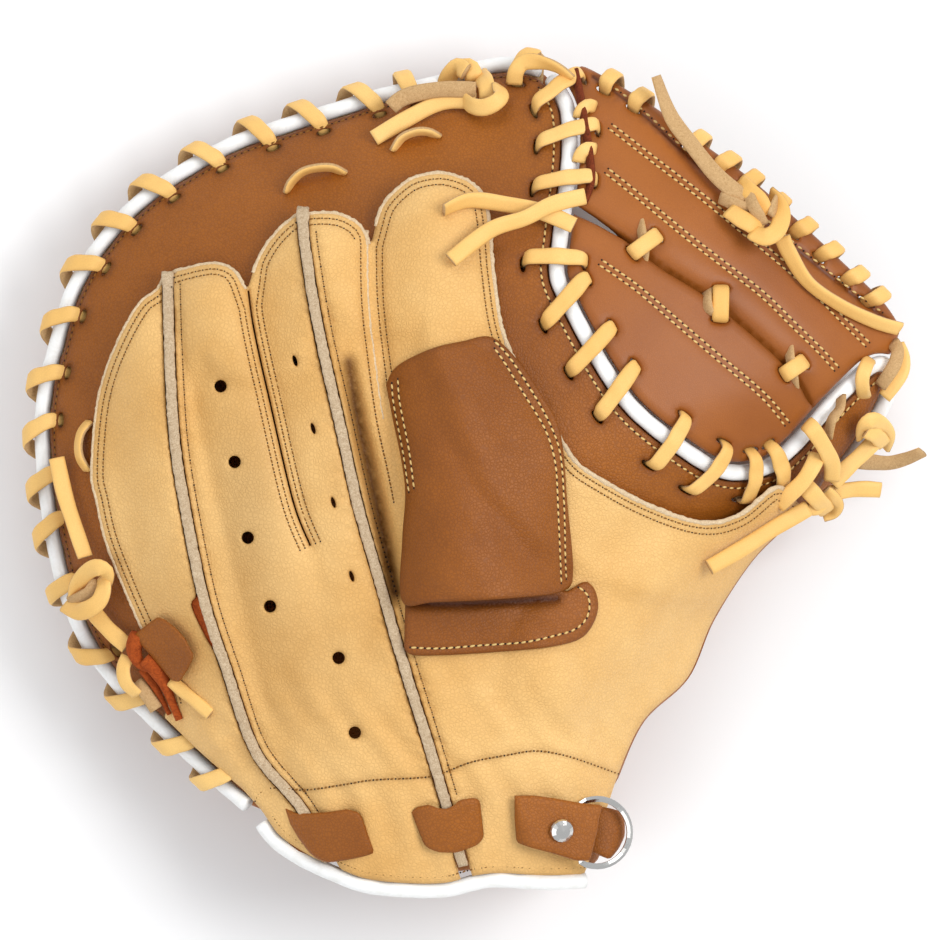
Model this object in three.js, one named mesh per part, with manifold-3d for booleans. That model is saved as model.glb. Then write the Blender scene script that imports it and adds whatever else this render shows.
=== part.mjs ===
// Catcher mitt for the left hand, lying palm down with its back up.
// Millimetres: x to the thumb side, y to the fingertips, z up from the surface it lies on.
import * as THREE from 'three';
import { mergeVertices } from 'three/addons/utils/BufferGeometryUtils.js';
import Module from 'manifold-3d';

const wasm = await Module();
wasm.setup();

// Driving dimensions
const patternStep = 0.34; // one step of the pattern tables, which count across and down
const patternMiddle = { across: 464.5, down: 475 };
const domeMiddle = { across: 470, down: 470 };
const bodyShift = { x: -2.72, y: -1.47 };
const leather = 2.6;
const gap = 0.4; // free room between two pieces
const lattice = 15;
const palmLattice = 20;
const webLattice = 20;
const domeTop = 92;
const domePower = 2.4;
const pocketPad = 13;
const rollStart = 0.88;
const rollDrop = 10;
const rollTallest = 34;
const pocketFloor = 0.4; // share of the pocket's reach that its floor takes
const pipingRadius = 2.7;
const pipingSides = 6;
const laceWidth = 5.6;
const laceThick = 1.6;
const channelDepth = 7.8;
const ventRadius = 2.2;
const steepest = 1.5; // most that a distance grows where the back slopes
const farthest = 1.2; // share of the reach past which the back keeps its height
const slopeReach = 3; // half span over which a slope is measured
const seamInset = 3.2;
const channelNear = 17; // the palm's channel under a laced seam ends between these distances
const channelFar = 27;
const shellOverlap = { from: 15, to: 24 }; // how far the panels take to come down off the shell
const thinnestPalm = 2;
const palmBelow = 2.7;
const hoodMouth = 14;
const hoodFlare = 2.3; // how soon below its top the hood is as wide as its mouth
const pipingLift = 1.2;
const passageRoom = 0.4;
const slotMargin = 2;
const slotFrom = 0.2;
const slotTo = 0.85;
const crotchSink = 4;
const seamSteps = 500;
const weltGap = 4.6;
const slitWidth = 1.2;
const weltWidth = 3.4;
const weltTall = 3.2;
const weltStand = 0.6;
const webLevel = { under: -1.2, top: 2.8 };
const strapOver = 5.1;
const strapUnder = 1.8;
const ringOver = 3;
const strapWidth = 16;
const strapThick = 2;

// The form by direction about the middle: turn in degrees, the rest in millimetres.
// reach is the outline, rim the height of its seam, pocket where the hollow of the palm ends.
const form = [
  { turn: 0, reach: 129, rim: 34, pocket: 86 },
  { turn: 10, reach: 145, rim: 42, pocket: 104 },
  { turn: 18, reach: 154, rim: 46, pocket: 160 },
  { turn: 30, reach: 146, rim: 54, pocket: 200 },
  { turn: 50, reach: 137, rim: 60, pocket: 200 },
  { turn: 66, reach: 138, rim: 54, pocket: 170 },
  { turn: 76, reach: 143, rim: 44, pocket: 112 },
  { turn: 90, reach: 137, rim: 39, pocket: 98 },
  { turn: 106, reach: 131, rim: 38, pocket: 96 },
  { turn: 120, reach: 134, rim: 37, pocket: 98 },
  { turn: 135, reach: 143, rim: 36, pocket: 104 },
  { turn: 150, reach: 148, rim: 36, pocket: 106 },
  { turn: 180, reach: 147, rim: 36, pocket: 106 },
  { turn: 205, reach: 142, rim: 38, pocket: 100 },
  { turn: 228, reach: 136, rim: 48, pocket: 86 },
  { turn: 240, reach: 139, rim: 60, pocket: 78 },
  { turn: 255, reach: 144, rim: 71, pocket: 76 },
  { turn: 272, reach: 139, rim: 74, pocket: 76 },
  { turn: 286, reach: 144, rim: 70, pocket: 74 },
  { turn: 297, reach: 113, rim: 56, pocket: 72 },
  { turn: 312, reach: 105, rim: 36, pocket: 62 },
  { turn: 328, reach: 98, rim: 30, pocket: 60 },
  { turn: 344, reach: 105, rim: 30, pocket: 68 },
];

// Room for the fingers and the hand: pattern places of both ends, radii, depth below and lift above
const rooms = [
  { name: 'little', from: [140, 322], to: [232, 735], radii: [12, 17], depth: [11, 15], lift: [5, 4] },
  { name: 'ring', from: [212, 300], to: [300, 690], radii: [12, 16], depth: [12, 15], lift: [6, 3] },
  { name: 'middle', from: [318, 245], to: [372, 600], radii: [16, 18], depth: [12, 16], lift: [7, 3] },
  { name: 'index', from: [432, 205], to: [450, 560], radii: [17, 18], depth: [13, 16], lift: [8, 4] },
  { name: 'thumb', from: [770, 505], to: [560, 660], radii: [10, 20], depth: [11, 18], lift: [3, 6] },
  { name: 'hand', from: [405, 640], to: [425, 900], radii: [46, 50], depth: [26, 38], lift: [3, 1] },
];

// Dents: pattern place, half sizes across and down in millimetres, how deep
const dents = [
  { name: 'hollow beside the second welt', at: [382, 500], half: [11, 42], depth: 6 },
  { name: 'wrist crease', at: [600, 742], half: [16, 10], depth: 2.5 },
  { name: 'dip under the little finger', at: [190, 655], half: [12, 18], depth: 3 },
];

// Outlines and seam lines in pattern steps: columns are across and down
const rimLine = [
  [248, 804], [205, 768], [148, 714], [114, 680], [83, 636], [60, 575], [46, 500], [41, 430],
  [45, 385], [54, 349], [73, 287], [110, 231], [153, 190], [226, 146], [281, 126], [332, 110],
  [385, 94], [439, 82], [478, 68], [510, 64], [540, 69],
];
const crotchLine = [
  [552, 80], [567, 110], [569, 152], [565, 195], [559, 243], [556, 276], [568, 306], [601, 367],
  [633, 411], [681, 449], [722, 471], [763, 468], [792, 446], [820, 415], [846, 388], [868, 368],
  [884, 364], [892, 376], [886, 400], [864, 440], [838, 476],
];
const thumbSide = [[835, 485], [787, 529], [753, 564], [716, 622], [690, 680], [645, 722], [618, 779]];
const wristLine = [
  [263, 822], [276, 839], [303, 857], [339, 873], [374, 884], [440, 887], [489, 877], [543, 879],
  [584, 878],
];
const heelLine = [[604, 800], [592, 864], [500, 868], [440, 874], [374, 870], [310, 845], [268, 812]];
const shellInner = [
  [806, 512], [760, 536], [700, 548], [640, 535], [585, 508], [545, 470], [515, 420], [484, 350],
  [470, 300], [462, 220], [430, 205], [404, 225], [390, 280], [362, 262], [330, 244], [285, 262],
  [262, 320], [246, 322], [215, 296], [182, 300], [160, 328], [132, 380], [122, 450], [130, 520],
  [150, 590], [172, 640], [190, 700],
];
const weltLeft = [
  [169, 274], [172, 358], [177, 439], [188, 510], [206, 598], [229, 670], [257, 750], [303, 807],
  [330, 858],
];
const weltRight = [
  [304, 212], [306, 244], [320, 329], [340, 418], [360, 508], [383, 589], [404, 661], [426, 732],
  [445, 796], [463, 862],
];
const fingerSlit = [[250, 292], [256, 331], [272, 403], [295, 501], [312, 545]];
const indexSlit = [[371, 232], [372, 300], [379, 365], [387, 420], [397, 465], [404, 500]];
const leftPanelEdge = [
  [166, 272], [158, 290], [141, 303], [122, 335], [105, 375], [96, 415], [92, 474], [97, 501],
  [106, 540], [125, 589], [142, 628], [160, 668], [170, 705],
];
const centrePanelTop = [
  [174, 272], [199, 266], [218, 264], [236, 271], [248, 290], [254, 274], [260, 259], [271, 241],
  [286, 225], [300, 215],
];
const rightPanelTop = [
  [308, 215], [326, 214], [345, 217], [362, 228], [371, 246], [376, 228], [382, 209], [394, 194],
  [411, 181], [428, 176], [444, 175], [460, 179], [472, 185], [484, 199], [490, 228], [494, 276],
  [504, 336], [530, 390], [558, 436], [574, 460], [592, 474], [645, 503], [699, 521], [737, 514],
  [776, 486], [800, 505],
];
const hoodEdge = [
  [387, 386], [394, 371], [410, 360], [436, 349], [463, 343], [492, 339], [520, 365], [540, 395],
  [555, 420], [562, 450], [566, 500], [572, 572], [561, 590], [511, 596], [436, 600], [403, 600],
  [403, 540], [406, 494], [402, 460], [394, 422],
];
const hoodCorners = [[492, 345], [566, 600], [398, 600]]; // top, right and left of the mouth
const hoodBaseEdge = [
  [404, 606], [440, 606], [511, 603], [556, 600], [576, 584], [585, 580], [594, 589], [597, 607],
  [590, 626], [577, 638], [547, 645], [494, 650], [440, 653], [410, 652], [404, 640],
];
const webOuter = [
  [578, 67], [584, 66], [615, 83], [660, 112], [700, 143], [750, 180], [800, 224], [850, 270],
  [884, 303], [901, 328],
];
const webUpperLower = [
  [893, 352], [849, 386], [822, 412], [808, 396], [800, 381], [781, 358], [749, 329], [732, 315],
  [705, 292], [666, 269], [651, 258], [628, 239], [612, 229], [596, 219], [580, 209], [565, 195],
  [569, 152], [567, 110], [556, 84],
];
const webLowerEdge = [
  [562, 214], [576, 218], [594, 226], [612, 236], [624, 243], [648, 262], [663, 273], [702, 297],
  [729, 319], [746, 333], [778, 362], [797, 385], [805, 400], [816, 418], [792, 446], [763, 468],
  [722, 471], [681, 449], [633, 411], [601, 367], [568, 306], [556, 276], [559, 243],
];

// Lace wraps: where each one crosses its seam, and how far its inner end is behind, in millimetres
const rimWraps = [
  [216, 777, 4.2], [177, 745, 4.2], [125, 702, 4.2], [95, 650, 4.2], [62, 590, -2], [53, 531, -4],
  [42, 484, -4], [37, 432, -4], [42, 379, -4], [60, 321, -4], [87, 268, -4], [116, 227, -4],
  [156, 190, -4], [202, 159, -4], [255, 136, -4], [309, 118, -4], [365, 101, -4], [408, 83, -2],
  [528, 66, 3],
];
const crotchWraps = [
  [558, 97, -1.4], [566, 138, -3], [560, 187, -2.6], [553, 264, -1], [563, 303, -4],
  [588, 354, -3.2], [614, 391, -3.4], [663, 438, 0], [702, 465, 2], [745, 474, 2.6], [772, 467, 2.4],
];
const webEdgeWraps = [
  [615, 83, 1.2], [640, 101, 1.2], [699, 142, 1.2], [724, 164, 1.2], [752, 182, 1.2],
  [779, 207, 1.2], [805, 230, 1.2], [830, 253, 1.2], [853, 274, 1.2],
];

// Ties of the web: where each goes through the upper and the lower bar
const webTies = [
  { upper: [657, 236], lower: [630, 256] },
  { upper: [719, 288], lower: [718, 322] },
  { upper: [803, 361], lower: [781, 376] },
];

// Laces and tails: pattern places with the height over the back, in millimetres
const laces = {
  shell_loop_1: [[287, 190, 4.4], [304, 171, 6], [326, 166, 6], [342, 172, 4.4]],
  shell_loop_2: [[391, 151, 4.8], [406, 137, 6], [421, 130, 6], [436, 135, 4.8]],
  shell_loop_3: [[84, 424, 4.8], [76, 440, 6], [77, 456, 6], [84, 470, 4.8]],
  top_tail_a: [[472, 88, 9], [432, 92, 9.5], [392, 103, 7]],
  top_tail_b: [[473, 103, 6.4], [425, 117, 5.6], [375, 138, 5]],
  crossing_tail_a: [
    [573, 228, 8.4], [540, 214, 8.4], [506, 207, 9.6], [470, 203, 13.4], [444, 213, 16.6],
  ],
  crossing_tail_b: [
    [584, 199, 10.6], [552, 207, 11.6], [524, 221, 11.6], [490, 233, 13.6], [451, 263, 17],
  ],
  web_tail: [[740, 199, 10], [711, 173, 8.4], [690, 146, 8.2], [670, 118, 9.5], [655, 78, 16]],
  web_long_lace: [
    [780, 238, 9.4], [786, 252, 8], [806, 283, 6.4], [839, 306, 6.2], [874, 322, 6.2],
    [899, 329, 6.2],
  ],
  corner_lace: [[800, 426, 9.4], [812, 450, 10.4], [824, 472, 10]],
  thumb_lace: [[862, 456, 9], [846, 468, 9.4], [836, 478, 9.8]],
  thumb_tail_upper: [[884, 456, 9], [905, 459, 13], [924, 452, 17]],
  thumb_tail_lower: [[836, 494, 11], [856, 491, 16], [881, 488, 22]],
  thumb_tail: [[800, 513, 13], [770, 530, 13], [740, 549, 14], [708, 568, 14]],
  side_tail: [[80, 552, 9], [70, 520, 8.6], [61, 490, 8.4], [54, 457, 8.4]],
  tab_lace: [[100, 620, 9], [112, 634, 8.6], [126, 648, 8.6]],
};
const cordNames = [
  'crossing_tail_a', 'crossing_tail_b', 'web_tail', 'web_long_lace', 'thumb_tail', 'side_tail',
];
const knots = {
  top_knot: { at: [490, 92, 9.4], turn: 20, radius: 4.6, length: 9 },
  web_knot: { at: [762, 216, 11.2], turn: -45, radius: 4.8, length: 13 },
  thumb_knot_upper: { at: [876, 433, 9.6], turn: 60, radius: 4.2, length: 9 },
  thumb_knot_lower: { at: [817, 496, 12], turn: 30, radius: 4.6, length: 9 },
  side_knot: { at: [86, 586, 13.4], turn: 60, radius: 5.6, length: 14 },
};
const tabRoute = [[150, 628, 14], [166, 650, 14.6], [166, 682, 13], [154, 712, 11]];

// The wrist strap: its middle line, over or under the panels
const strapRoute = [
  { across: 288, down: 828, over: true },
  { across: 316, down: 831, over: true },
  { across: 340, down: 833, over: true },
  { across: 362, down: 834, over: true },
  { across: 369, down: 834, over: false },
  { across: 412, down: 827, over: false },
  { across: 419, down: 826, over: true },
  { across: 449, down: 822, over: true },
  { across: 478, down: 818, over: true },
  { across: 485, down: 818, over: false },
  { across: 510, down: 819, over: false },
  { across: 517, down: 820, over: true },
  { across: 548, down: 824, over: true, lift: 0.5 },
  { across: 594, down: 830, over: true, lift: 3 },
  { across: 612, down: 831, over: true, lift: 7 },
];
// The D-shaped ring: its bow's middle, where its bar is from there, and its tilt to the thumb side
const ringAt = [596, 829.5];
const ringRadius = 11.4;
const ringBar = -5.6;
const ringTilt = 14;
const ringWire = 1.15;
const rivetAt = [561, 827];
const rivetRadius = 4.1;
const rivetLift = 2.8;

const ventHoles = [[223, 387], [237, 462], [250, 537], [272, 605], [340, 656], [356, 730]];
const hoodHole = { at: [485, 530], half: [14, 17] };

const clamp = (value, low, high) => Math.min(Math.max(value, low), high);

function smooth(low, high, value) {
  const share = clamp((value - low) / (high - low), 0, 1);
  return share * share * (3 - 2 * share);
}

// A place of the pattern in millimetres
function place([across, down]) {
  const x = (across - patternMiddle.across) * patternStep;
  const y = (patternMiddle.down - down) * patternStep;
  return new THREE.Vector2(x, y);
}

const places = (rows) => rows.map(place);
const middle = place([domeMiddle.across, domeMiddle.down]);

// A smooth line through the places, in steps of about one spacing
function line(rows, spacing = 13) {
  const curve = new THREE.SplineCurve(places(rows));
  const count = Math.max(2, Math.round(curve.getLength() / spacing));
  return curve.getSpacedPoints(count);
}

function along(points, index) {
  const before = points[Math.max(index - 1, 0)];
  const after = points[Math.min(index + 1, points.length - 1)];
  return after.clone().sub(before).normalize();
}

// The line moved to its left by a distance
function beside(points, distance) {
  return points.map((point, index) => {
    const way = along(points, index);
    return new THREE.Vector2(point.x - way.y * distance, point.y + way.x * distance);
  });
}

function distanceTo(points, x, y) {
  let nearest = Infinity;
  for (let index = 1; index < points.length; index += 1) {
    const start = points[index - 1];
    const way = points[index].clone().sub(start);
    const share = clamp(((x - start.x) * way.x + (y - start.y) * way.y) / way.lengthSq(), 0, 1);
    nearest = Math.min(nearest, Math.hypot(start.x + way.x * share - x, start.y + way.y * share - y));
  }
  return nearest;
}

function isInside(points, x, y) {
  let inside = false;
  points.forEach((end, index) => {
    const start = points[(index + points.length - 1) % points.length];
    const crosses = end.y > y !== start.y > y;
    if (crosses && x < ((start.x - end.x) * (y - end.y)) / (start.y - end.y) + end.x) {
      inside = !inside;
    }
  });
  return inside;
}

// A value of the form table in one direction, eased between its rows
function formValue(turn, column) {
  const last = form.findLastIndex((row) => row.turn <= turn);
  const before = form[last];
  const after = form[(last + 1) % form.length];
  const span = (after.turn - before.turn + 360) % 360;
  const share = smooth(0, 1, (turn - before.turn) / span);
  return before[column] + (after[column] - before[column]) * share;
}

function outlineShare(x, y) {
  const angle = Math.atan2(y - middle.y, x - middle.x);
  const turn = (THREE.MathUtils.radToDeg(angle) + 360) % 360;
  const radius = Math.hypot(x - middle.x, y - middle.y);
  return { turn, radius, share: Math.min(radius / formValue(turn, 'reach'), farthest) };
}

// Seam and outline curves
const rim = line(rimLine);
const crotch = line(crotchLine, 10);
const wrist = line(wristLine);
const shellEdge = line(shellInner, 11);
const lacedSeams = [rim, crotch];
const shellOutline = [
  ...beside(rim.slice(4), -seamInset), ...beside(crotch, -seamInset), ...shellEdge,
];

// Height of the mitt's back, without the room for the hand
function backHeight(x, y) {
  const { turn, share } = outlineShare(x, y);
  const seam = formValue(turn, 'rim');
  let height = seam + (domeTop - seam) * (1 - share ** domePower);
  dents.forEach(({ at, half, depth }) => {
    const spot = place(at);
    const away = ((x - spot.x) / half[0]) ** 2 + ((y - spot.y) / half[1]) ** 2;
    height -= depth * Math.exp(-away);
  });
  return height;
}

function roomShare(room, x, y) {
  const start = place(room.from);
  const way = place(room.to).sub(start);
  const share = clamp(((x - start.x) * way.x + (y - start.y) * way.y) / way.lengthSq(), 0, 1);
  const away = Math.hypot(start.x + way.x * share - x, start.y + way.y * share - y);
  const between = (pair) => pair[0] + (pair[1] - pair[0]) * share;
  return { away, radius: between(room.radii), depth: between(room.depth), lift: between(room.lift) };
}

function roomDepth(x, y) {
  const depths = rooms.map((room) => {
    const { away, radius, depth } = roomShare(room, x, y);
    return depth * Math.sqrt(Math.max(0, 1 - (away / radius) ** 2));
  });
  return Math.max(...depths);
}

function stallLift(x, y) {
  const lifts = rooms.map((room) => {
    const { away, radius, lift } = roomShare(room, x, y);
    return lift * Math.max(0, 1 - (away / (radius + 5)) ** 2) ** 1.5;
  });
  return Math.max(...lifts);
}

// Height at a distance from the back's surface, measured square to it
function offset(x, y, distance) {
  const near = slopeReach;
  const slopeX = (backHeight(x + near, y) - backHeight(x - near, y)) / (2 * near);
  const slopeY = (backHeight(x, y + near) - backHeight(x, y - near)) / (2 * near);
  return backHeight(x, y) + distance * Math.min(Math.hypot(1, slopeX, slopeY), steepest);
}

// The palm's upper side sinks under the hand, and under the laced seams so that laces run there
function palmTop(x, y) {
  const seamAway = Math.min(...lacedSeams.map((seam) => distanceTo(seam, x, y)));
  const channel = channelDepth * (1 - smooth(channelNear, channelFar, seamAway));
  return offset(x, y, -Math.max(roomDepth(x, y), channel, palmBelow));
}

function palmUnder(x, y) {
  const { turn, radius, share } = outlineShare(x, y);
  const roll = clamp((share - rollStart) / (1 - rollStart), 0, 1);
  const rollTall = Math.min(formValue(turn, 'rim') - rollDrop, rollTallest);
  const edge = rollTall * (1 - Math.sqrt(1 - roll * roll));
  const bowl = 1 - smooth(pocketFloor, 1, radius / formValue(turn, 'pocket'));
  const top = palmTop(x, y);
  return Math.min(Math.max(edge, (top - pocketPad) * bowl), top - thinnestPalm);
}

const shellUnder = (x, y) => offset(x, y, gap);
const shellTop = (x, y) => offset(x, y, gap + leather);

// Panels lie on the shell's inner margin and come down to the palm away from it
function panelOffset(x, y) {
  const onShell = isInside(shellOutline, x, y);
  const away = onShell ? 0 : distanceTo(shellEdge, x, y);
  const onTop = 1 - smooth(shellOverlap.from, shellOverlap.to, away);
  return gap + (leather + gap) * onTop + stallLift(x, y);
}

const panelUnder = (x, y) => offset(x, y, panelOffset(x, y));
const panelTop = (x, y) => offset(x, y, panelOffset(x, y) + leather);

// The hood rises from its sewn edges to an open mouth towards the wrist
function hoodRise(x, y) {
  const [top, mouth, left] = places(hoodCorners);
  const down = clamp((top.y - y) / (top.y - mouth.y), 0, 1.05);
  const right = top.x + (mouth.x - top.x) * clamp(down * hoodFlare, 0, 1);
  const across = clamp((x - left.x) / (right - left.x), 0, 1);
  return hoodMouth * down ** 0.8 * Math.sin(Math.PI * across) ** 0.7;
}

const hoodUnder = (x, y) => panelTop(x, y) + gap + hoodRise(x, y);
const hoodTop = (x, y) => hoodUnder(x, y) + leather;
const patchUnder = (x, y) => panelTop(x, y) + gap;
const patchTop = (x, y) => patchUnder(x, y) + leather;
const webUnder = (x, y) => offset(x, y, webLevel.under);
const webTop = (x, y) => offset(x, y, webLevel.top);

function bareSolid(geometry) {
  geometry.deleteAttribute('normal');
  geometry.deleteAttribute('uv');
  const merged = mergeVertices(geometry, 1e-4);
  const vertProperties = new Float32Array(merged.attributes.position.array);
  const triVerts = new Uint32Array(merged.index.array);
  return new wasm.Manifold(new wasm.Mesh({ numProp: 3, vertProperties, triVerts }));
}

function asGeometry(solid) {
  const mesh = solid.getMesh();
  const geometry = new THREE.BufferGeometry();
  geometry.setAttribute('position', new THREE.BufferAttribute(mesh.vertProperties, 3));
  geometry.setIndex(new THREE.BufferAttribute(mesh.triVerts, 1));
  return geometry;
}

function prism(outline, low = -20, high = 160) {
  const shape = new THREE.Shape(outline);
  const geometry = new THREE.ExtrudeGeometry(shape, { depth: high - low, bevelEnabled: false });
  return bareSolid(geometry.translate(0, 0, low));
}

// A strip along a line, as an outline
function strip(points, width) {
  return [...beside(points, width / 2), ...beside(points, -width / 2).reverse()];
}

// A closed sheet over the lattice between two heights, cut to an outline
function sheet(outline, under, top, step = lattice) {
  const box = new THREE.Box2().setFromPoints(outline);
  const first = box.min.clone().divideScalar(step).floor();
  const last = box.max.clone().divideScalar(step).ceil();
  const columns = last.x - first.x + 1;
  const rows = last.y - first.y + 1;
  const positions = [];
  [under, top].forEach((height) => {
    for (let row = 0; row < rows; row += 1) {
      for (let column = 0; column < columns; column += 1) {
        const x = (first.x + column) * step;
        const y = (first.y + row) * step;
        positions.push(x, y, height(x, y));
      }
    }
  });
  const above = columns * rows;
  const index = [];
  const quad = (a, b, c, d) => index.push(a, b, c, a, c, d);
  for (let row = 0; row < rows - 1; row += 1) {
    for (let column = 0; column < columns - 1; column += 1) {
      const a = row * columns + column;
      quad(above + a, above + a + 1, above + a + columns + 1, above + a + columns);
      index.push(a, a + columns + 1, a + 1, a, a + columns, a + columns + 1);
    }
  }
  const wall = (a, b) => quad(a, b, above + b, above + a);
  for (let column = 0; column < columns - 1; column += 1) {
    wall(column, column + 1);
    wall((rows - 1) * columns + column + 1, (rows - 1) * columns + column);
  }
  for (let row = 0; row < rows - 1; row += 1) {
    wall((row + 1) * columns, row * columns);
    wall(row * columns + columns - 1, (row + 1) * columns + columns - 1);
  }
  const geometry = new THREE.BufferGeometry();
  geometry.setAttribute('position', new THREE.Float32BufferAttribute(positions, 3));
  geometry.setIndex(index);
  return bareSolid(geometry).intersect(prism(outline));
}

// A flat band through points, its width along the given directions
function ribbon(points, widths, width, thick) {
  const positions = [];
  points.forEach((point, index) => {
    const before = points[Math.max(index - 1, 0)];
    const after = points[Math.min(index + 1, points.length - 1)];
    const way = after.clone().sub(before).normalize();
    const side = widths[index].clone().addScaledVector(way, -widths[index].dot(way)).normalize();
    const out = new THREE.Vector3().crossVectors(way, side);
    [[-1, -1], [1, -1], [1, 1], [-1, 1]].forEach(([across, up]) => {
      const corner = point.clone().addScaledVector(side, (across * width) / 2);
      positions.push(...corner.addScaledVector(out, (up * thick) / 2));
    });
  });
  const index = [];
  for (let step = 0; step < points.length - 1; step += 1) {
    for (let corner = 0; corner < 4; corner += 1) {
      const a = step * 4 + corner;
      const b = step * 4 + ((corner + 1) % 4);
      index.push(a, b + 4, b, a, a + 4, b + 4);
    }
  }
  const end = (points.length - 1) * 4;
  index.push(0, 1, 2, 0, 2, 3, end, end + 2, end + 1, end, end + 3, end + 2);
  const geometry = new THREE.BufferGeometry();
  geometry.setAttribute('position', new THREE.Float32BufferAttribute(positions, 3));
  geometry.setIndex(index);
  return outward(geometry);
}

function outward(geometry) {
  const position = geometry.attributes.position;
  const index = geometry.index.array;
  const corners = [new THREE.Vector3(), new THREE.Vector3(), new THREE.Vector3()];
  let volume = 0;
  for (let face = 0; face < index.length; face += 3) {
    corners.forEach((corner, which) => corner.fromBufferAttribute(position, index[face + which]));
    volume += corners[0].dot(corners[1].clone().cross(corners[2]));
  }
  if (volume < 0) {
    const flipped = [];
    for (let face = 0; face < index.length; face += 3) {
      flipped.push(index[face], index[face + 2], index[face + 1]);
    }
    geometry.setIndex(flipped);
  }
  return geometry;
}

// A tube along a curve with a round or a flat section
function tube(curve, across, up, sides, steps) {
  const shape = new THREE.Shape();
  for (let side = 0; side < sides; side += 1) {
    const turn = (2 * Math.PI * (side + 0.5)) / sides;
    const corner = [up * Math.cos(turn), across * Math.sin(turn)];
    if (side === 0) shape.moveTo(...corner);
    else shape.lineTo(...corner);
  }
  shape.closePath();
  return new THREE.ExtrudeGeometry(shape, { steps, extrudePath: curve, curveSegments: 1 });
}

// Where a wrap crosses its seam, with the directions along, inward and out of the surface there
function seamFrame(guide, wrap, shift) {
  const curve = new THREE.SplineCurve(guide);
  const fine = curve.getSpacedPoints(seamSteps);
  const spot = place(wrap);
  const distances = fine.map((point) => point.distanceTo(spot));
  const nearest = distances.indexOf(Math.min(...distances)) / seamSteps;
  const share = clamp(nearest + shift / curve.getLength(), 0, 1);
  const point = curve.getPointAt(share);
  const way = curve.getTangentAt(share);
  const reach = 8;
  const level = backHeight(point.x, point.y);
  const rise = (backHeight(point.x + way.y * reach, point.y - way.x * reach) - level) / reach;
  const base = new THREE.Vector3(point.x, point.y, level);
  const ahead = backHeight(point.x + way.x * reach, point.y + way.y * reach);
  const behind = backHeight(point.x - way.x * reach, point.y - way.y * reach);
  const seamWay = new THREE.Vector3(way.x, way.y, (ahead - behind) / (2 * reach)).normalize();
  const inward = new THREE.Vector3(way.y, -way.x, rise).normalize();
  const out = new THREE.Vector3().crossVectors(inward, seamWay).normalize();
  if (out.z < 0) out.negate();
  return { base, seamWay, inward, out };
}

// One turn of lace: distance inward from the seam, height over the surface, share of its lean
const rimTurn = [
  { inward: 8.4, up: -2.4, lean: -1 },
  { inward: 7.6, up: 4.5, lean: -1 },
  { inward: 0, up: 6.5, lean: 0 },
  { inward: -3.7, up: 5.1, lean: 0.5 },
  { inward: -4.9, up: 1.2, lean: 1 },
  { inward: -3.0, up: -3.3, lean: 1.4 },
  { inward: 5, up: -3.5, lean: 1.5 },
];
const crotchTurn = [
  { inward: 11, up: -2.4, lean: -1 },
  { inward: 9.6, up: 4.5, lean: -1 },
  { inward: 0, up: 6.5, lean: 0 },
  { inward: -3.6, up: 5.2, lean: 0.4 },
  { inward: -8.4, up: 4.5, lean: 1 },
  { inward: -9.4, up: -4.2, lean: 1 },
  { inward: 4, up: -3.1, lean: 1 },
];
const webTurn = [
  { inward: 5.6, up: -4.2, lean: -1 },
  { inward: 5.0, up: 5.2, lean: -1 },
  { inward: 0.4, up: 5.4, lean: 0 },
  { inward: -2.1, up: 2.8, lean: 0.4 },
  { inward: -2.1, up: -2.2, lean: 0.8 },
  { inward: 0.6, up: -4.2, lean: 1 },
];

// The route of a lace wound round a seam, with its width running along the seam
function whipRoute(guide, wraps, turn) {
  const points = [];
  const widths = [];
  wraps.forEach((wrap) => {
    turn.forEach((step) => {
      const { base, seamWay, inward, out } = seamFrame(guide, wrap, step.lean * wrap[2]);
      points.push(base.addScaledVector(inward, step.inward).addScaledVector(out, step.up));
      widths.push(seamWay);
    });
  });
  return { points, widths, width: laceWidth, thick: laceThick };
}

function band(route, room = 0) {
  return ribbon(route.points, route.widths, route.width + 2 * room, route.thick + 2 * room);
}

// Upright slots where one step of each turn rises or sinks through the leather
function slots(guide, wraps, turn, from) {
  return wraps.map((wrap) => {
    const frames = [0, 1].map((next) => {
      const step = turn[from + next];
      const { base, seamWay, inward, out } = seamFrame(guide, wrap, step.lean * wrap[2]);
      const point = base.clone().addScaledVector(inward, step.inward).addScaledVector(out, step.up);
      return { point, seamWay };
    });
    const way = new THREE.Vector2(frames[0].seamWay.x, frames[0].seamWay.y).normalize();
    const across = new THREE.Vector2(way.y, -way.x);
    const flat = (share) => {
      const spot = frames[0].point.clone().lerp(frames[1].point, share);
      return new THREE.Vector2(spot.x, spot.y);
    };
    const ends = [flat(slotFrom), flat(slotTo)];
    const origin = way.dot(ends[0].clone().add(ends[1])) / 2;
    const depths = ends.map((end) => across.dot(end));
    const near = Math.min(...depths) - slotMargin;
    const far = Math.max(...depths) + slotMargin;
    const half = laceWidth / 2 + slotMargin * 0.8;
    const corner = (s, n) => way.clone().multiplyScalar(origin + s).addScaledVector(across, n);
    return prism([corner(-half, near), corner(half, near), corner(half, far), corner(-half, far)]);
  });
}

// The room that a lace or strap takes out of the leather that it passes
const passage = (route) => bareSolid(band(route, passageRoom));

const without = (solid, others) => others.reduce((left, other) => left.subtract(other), solid);

// A line of the pattern laid on the mitt at a height function, as 3D points
function raised(rows, height, spacing = 10) {
  return line(rows, spacing).map(({ x, y }) => new THREE.Vector3(x, y, height(x, y)));
}

function sideways(points) {
  return points.map((point, index) => {
    const before = points[Math.max(index - 1, 0)];
    const after = points[Math.min(index + 1, points.length - 1)];
    return new THREE.Vector3(before.y - after.y, after.x - before.x, 0).normalize();
  });
}

function piping(seam, radius = pipingRadius) {
  const points = seam.map((point) => {
    const height = backHeight(point.x, point.y) + pipingLift;
    return new THREE.Vector3(point.x, point.y, height);
  });
  const curve = new THREE.CatmullRomCurve3(points);
  const steps = Math.round(curve.getLength() / 12);
  return tube(curve, radius, radius, pipingSides, steps);
}

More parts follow.
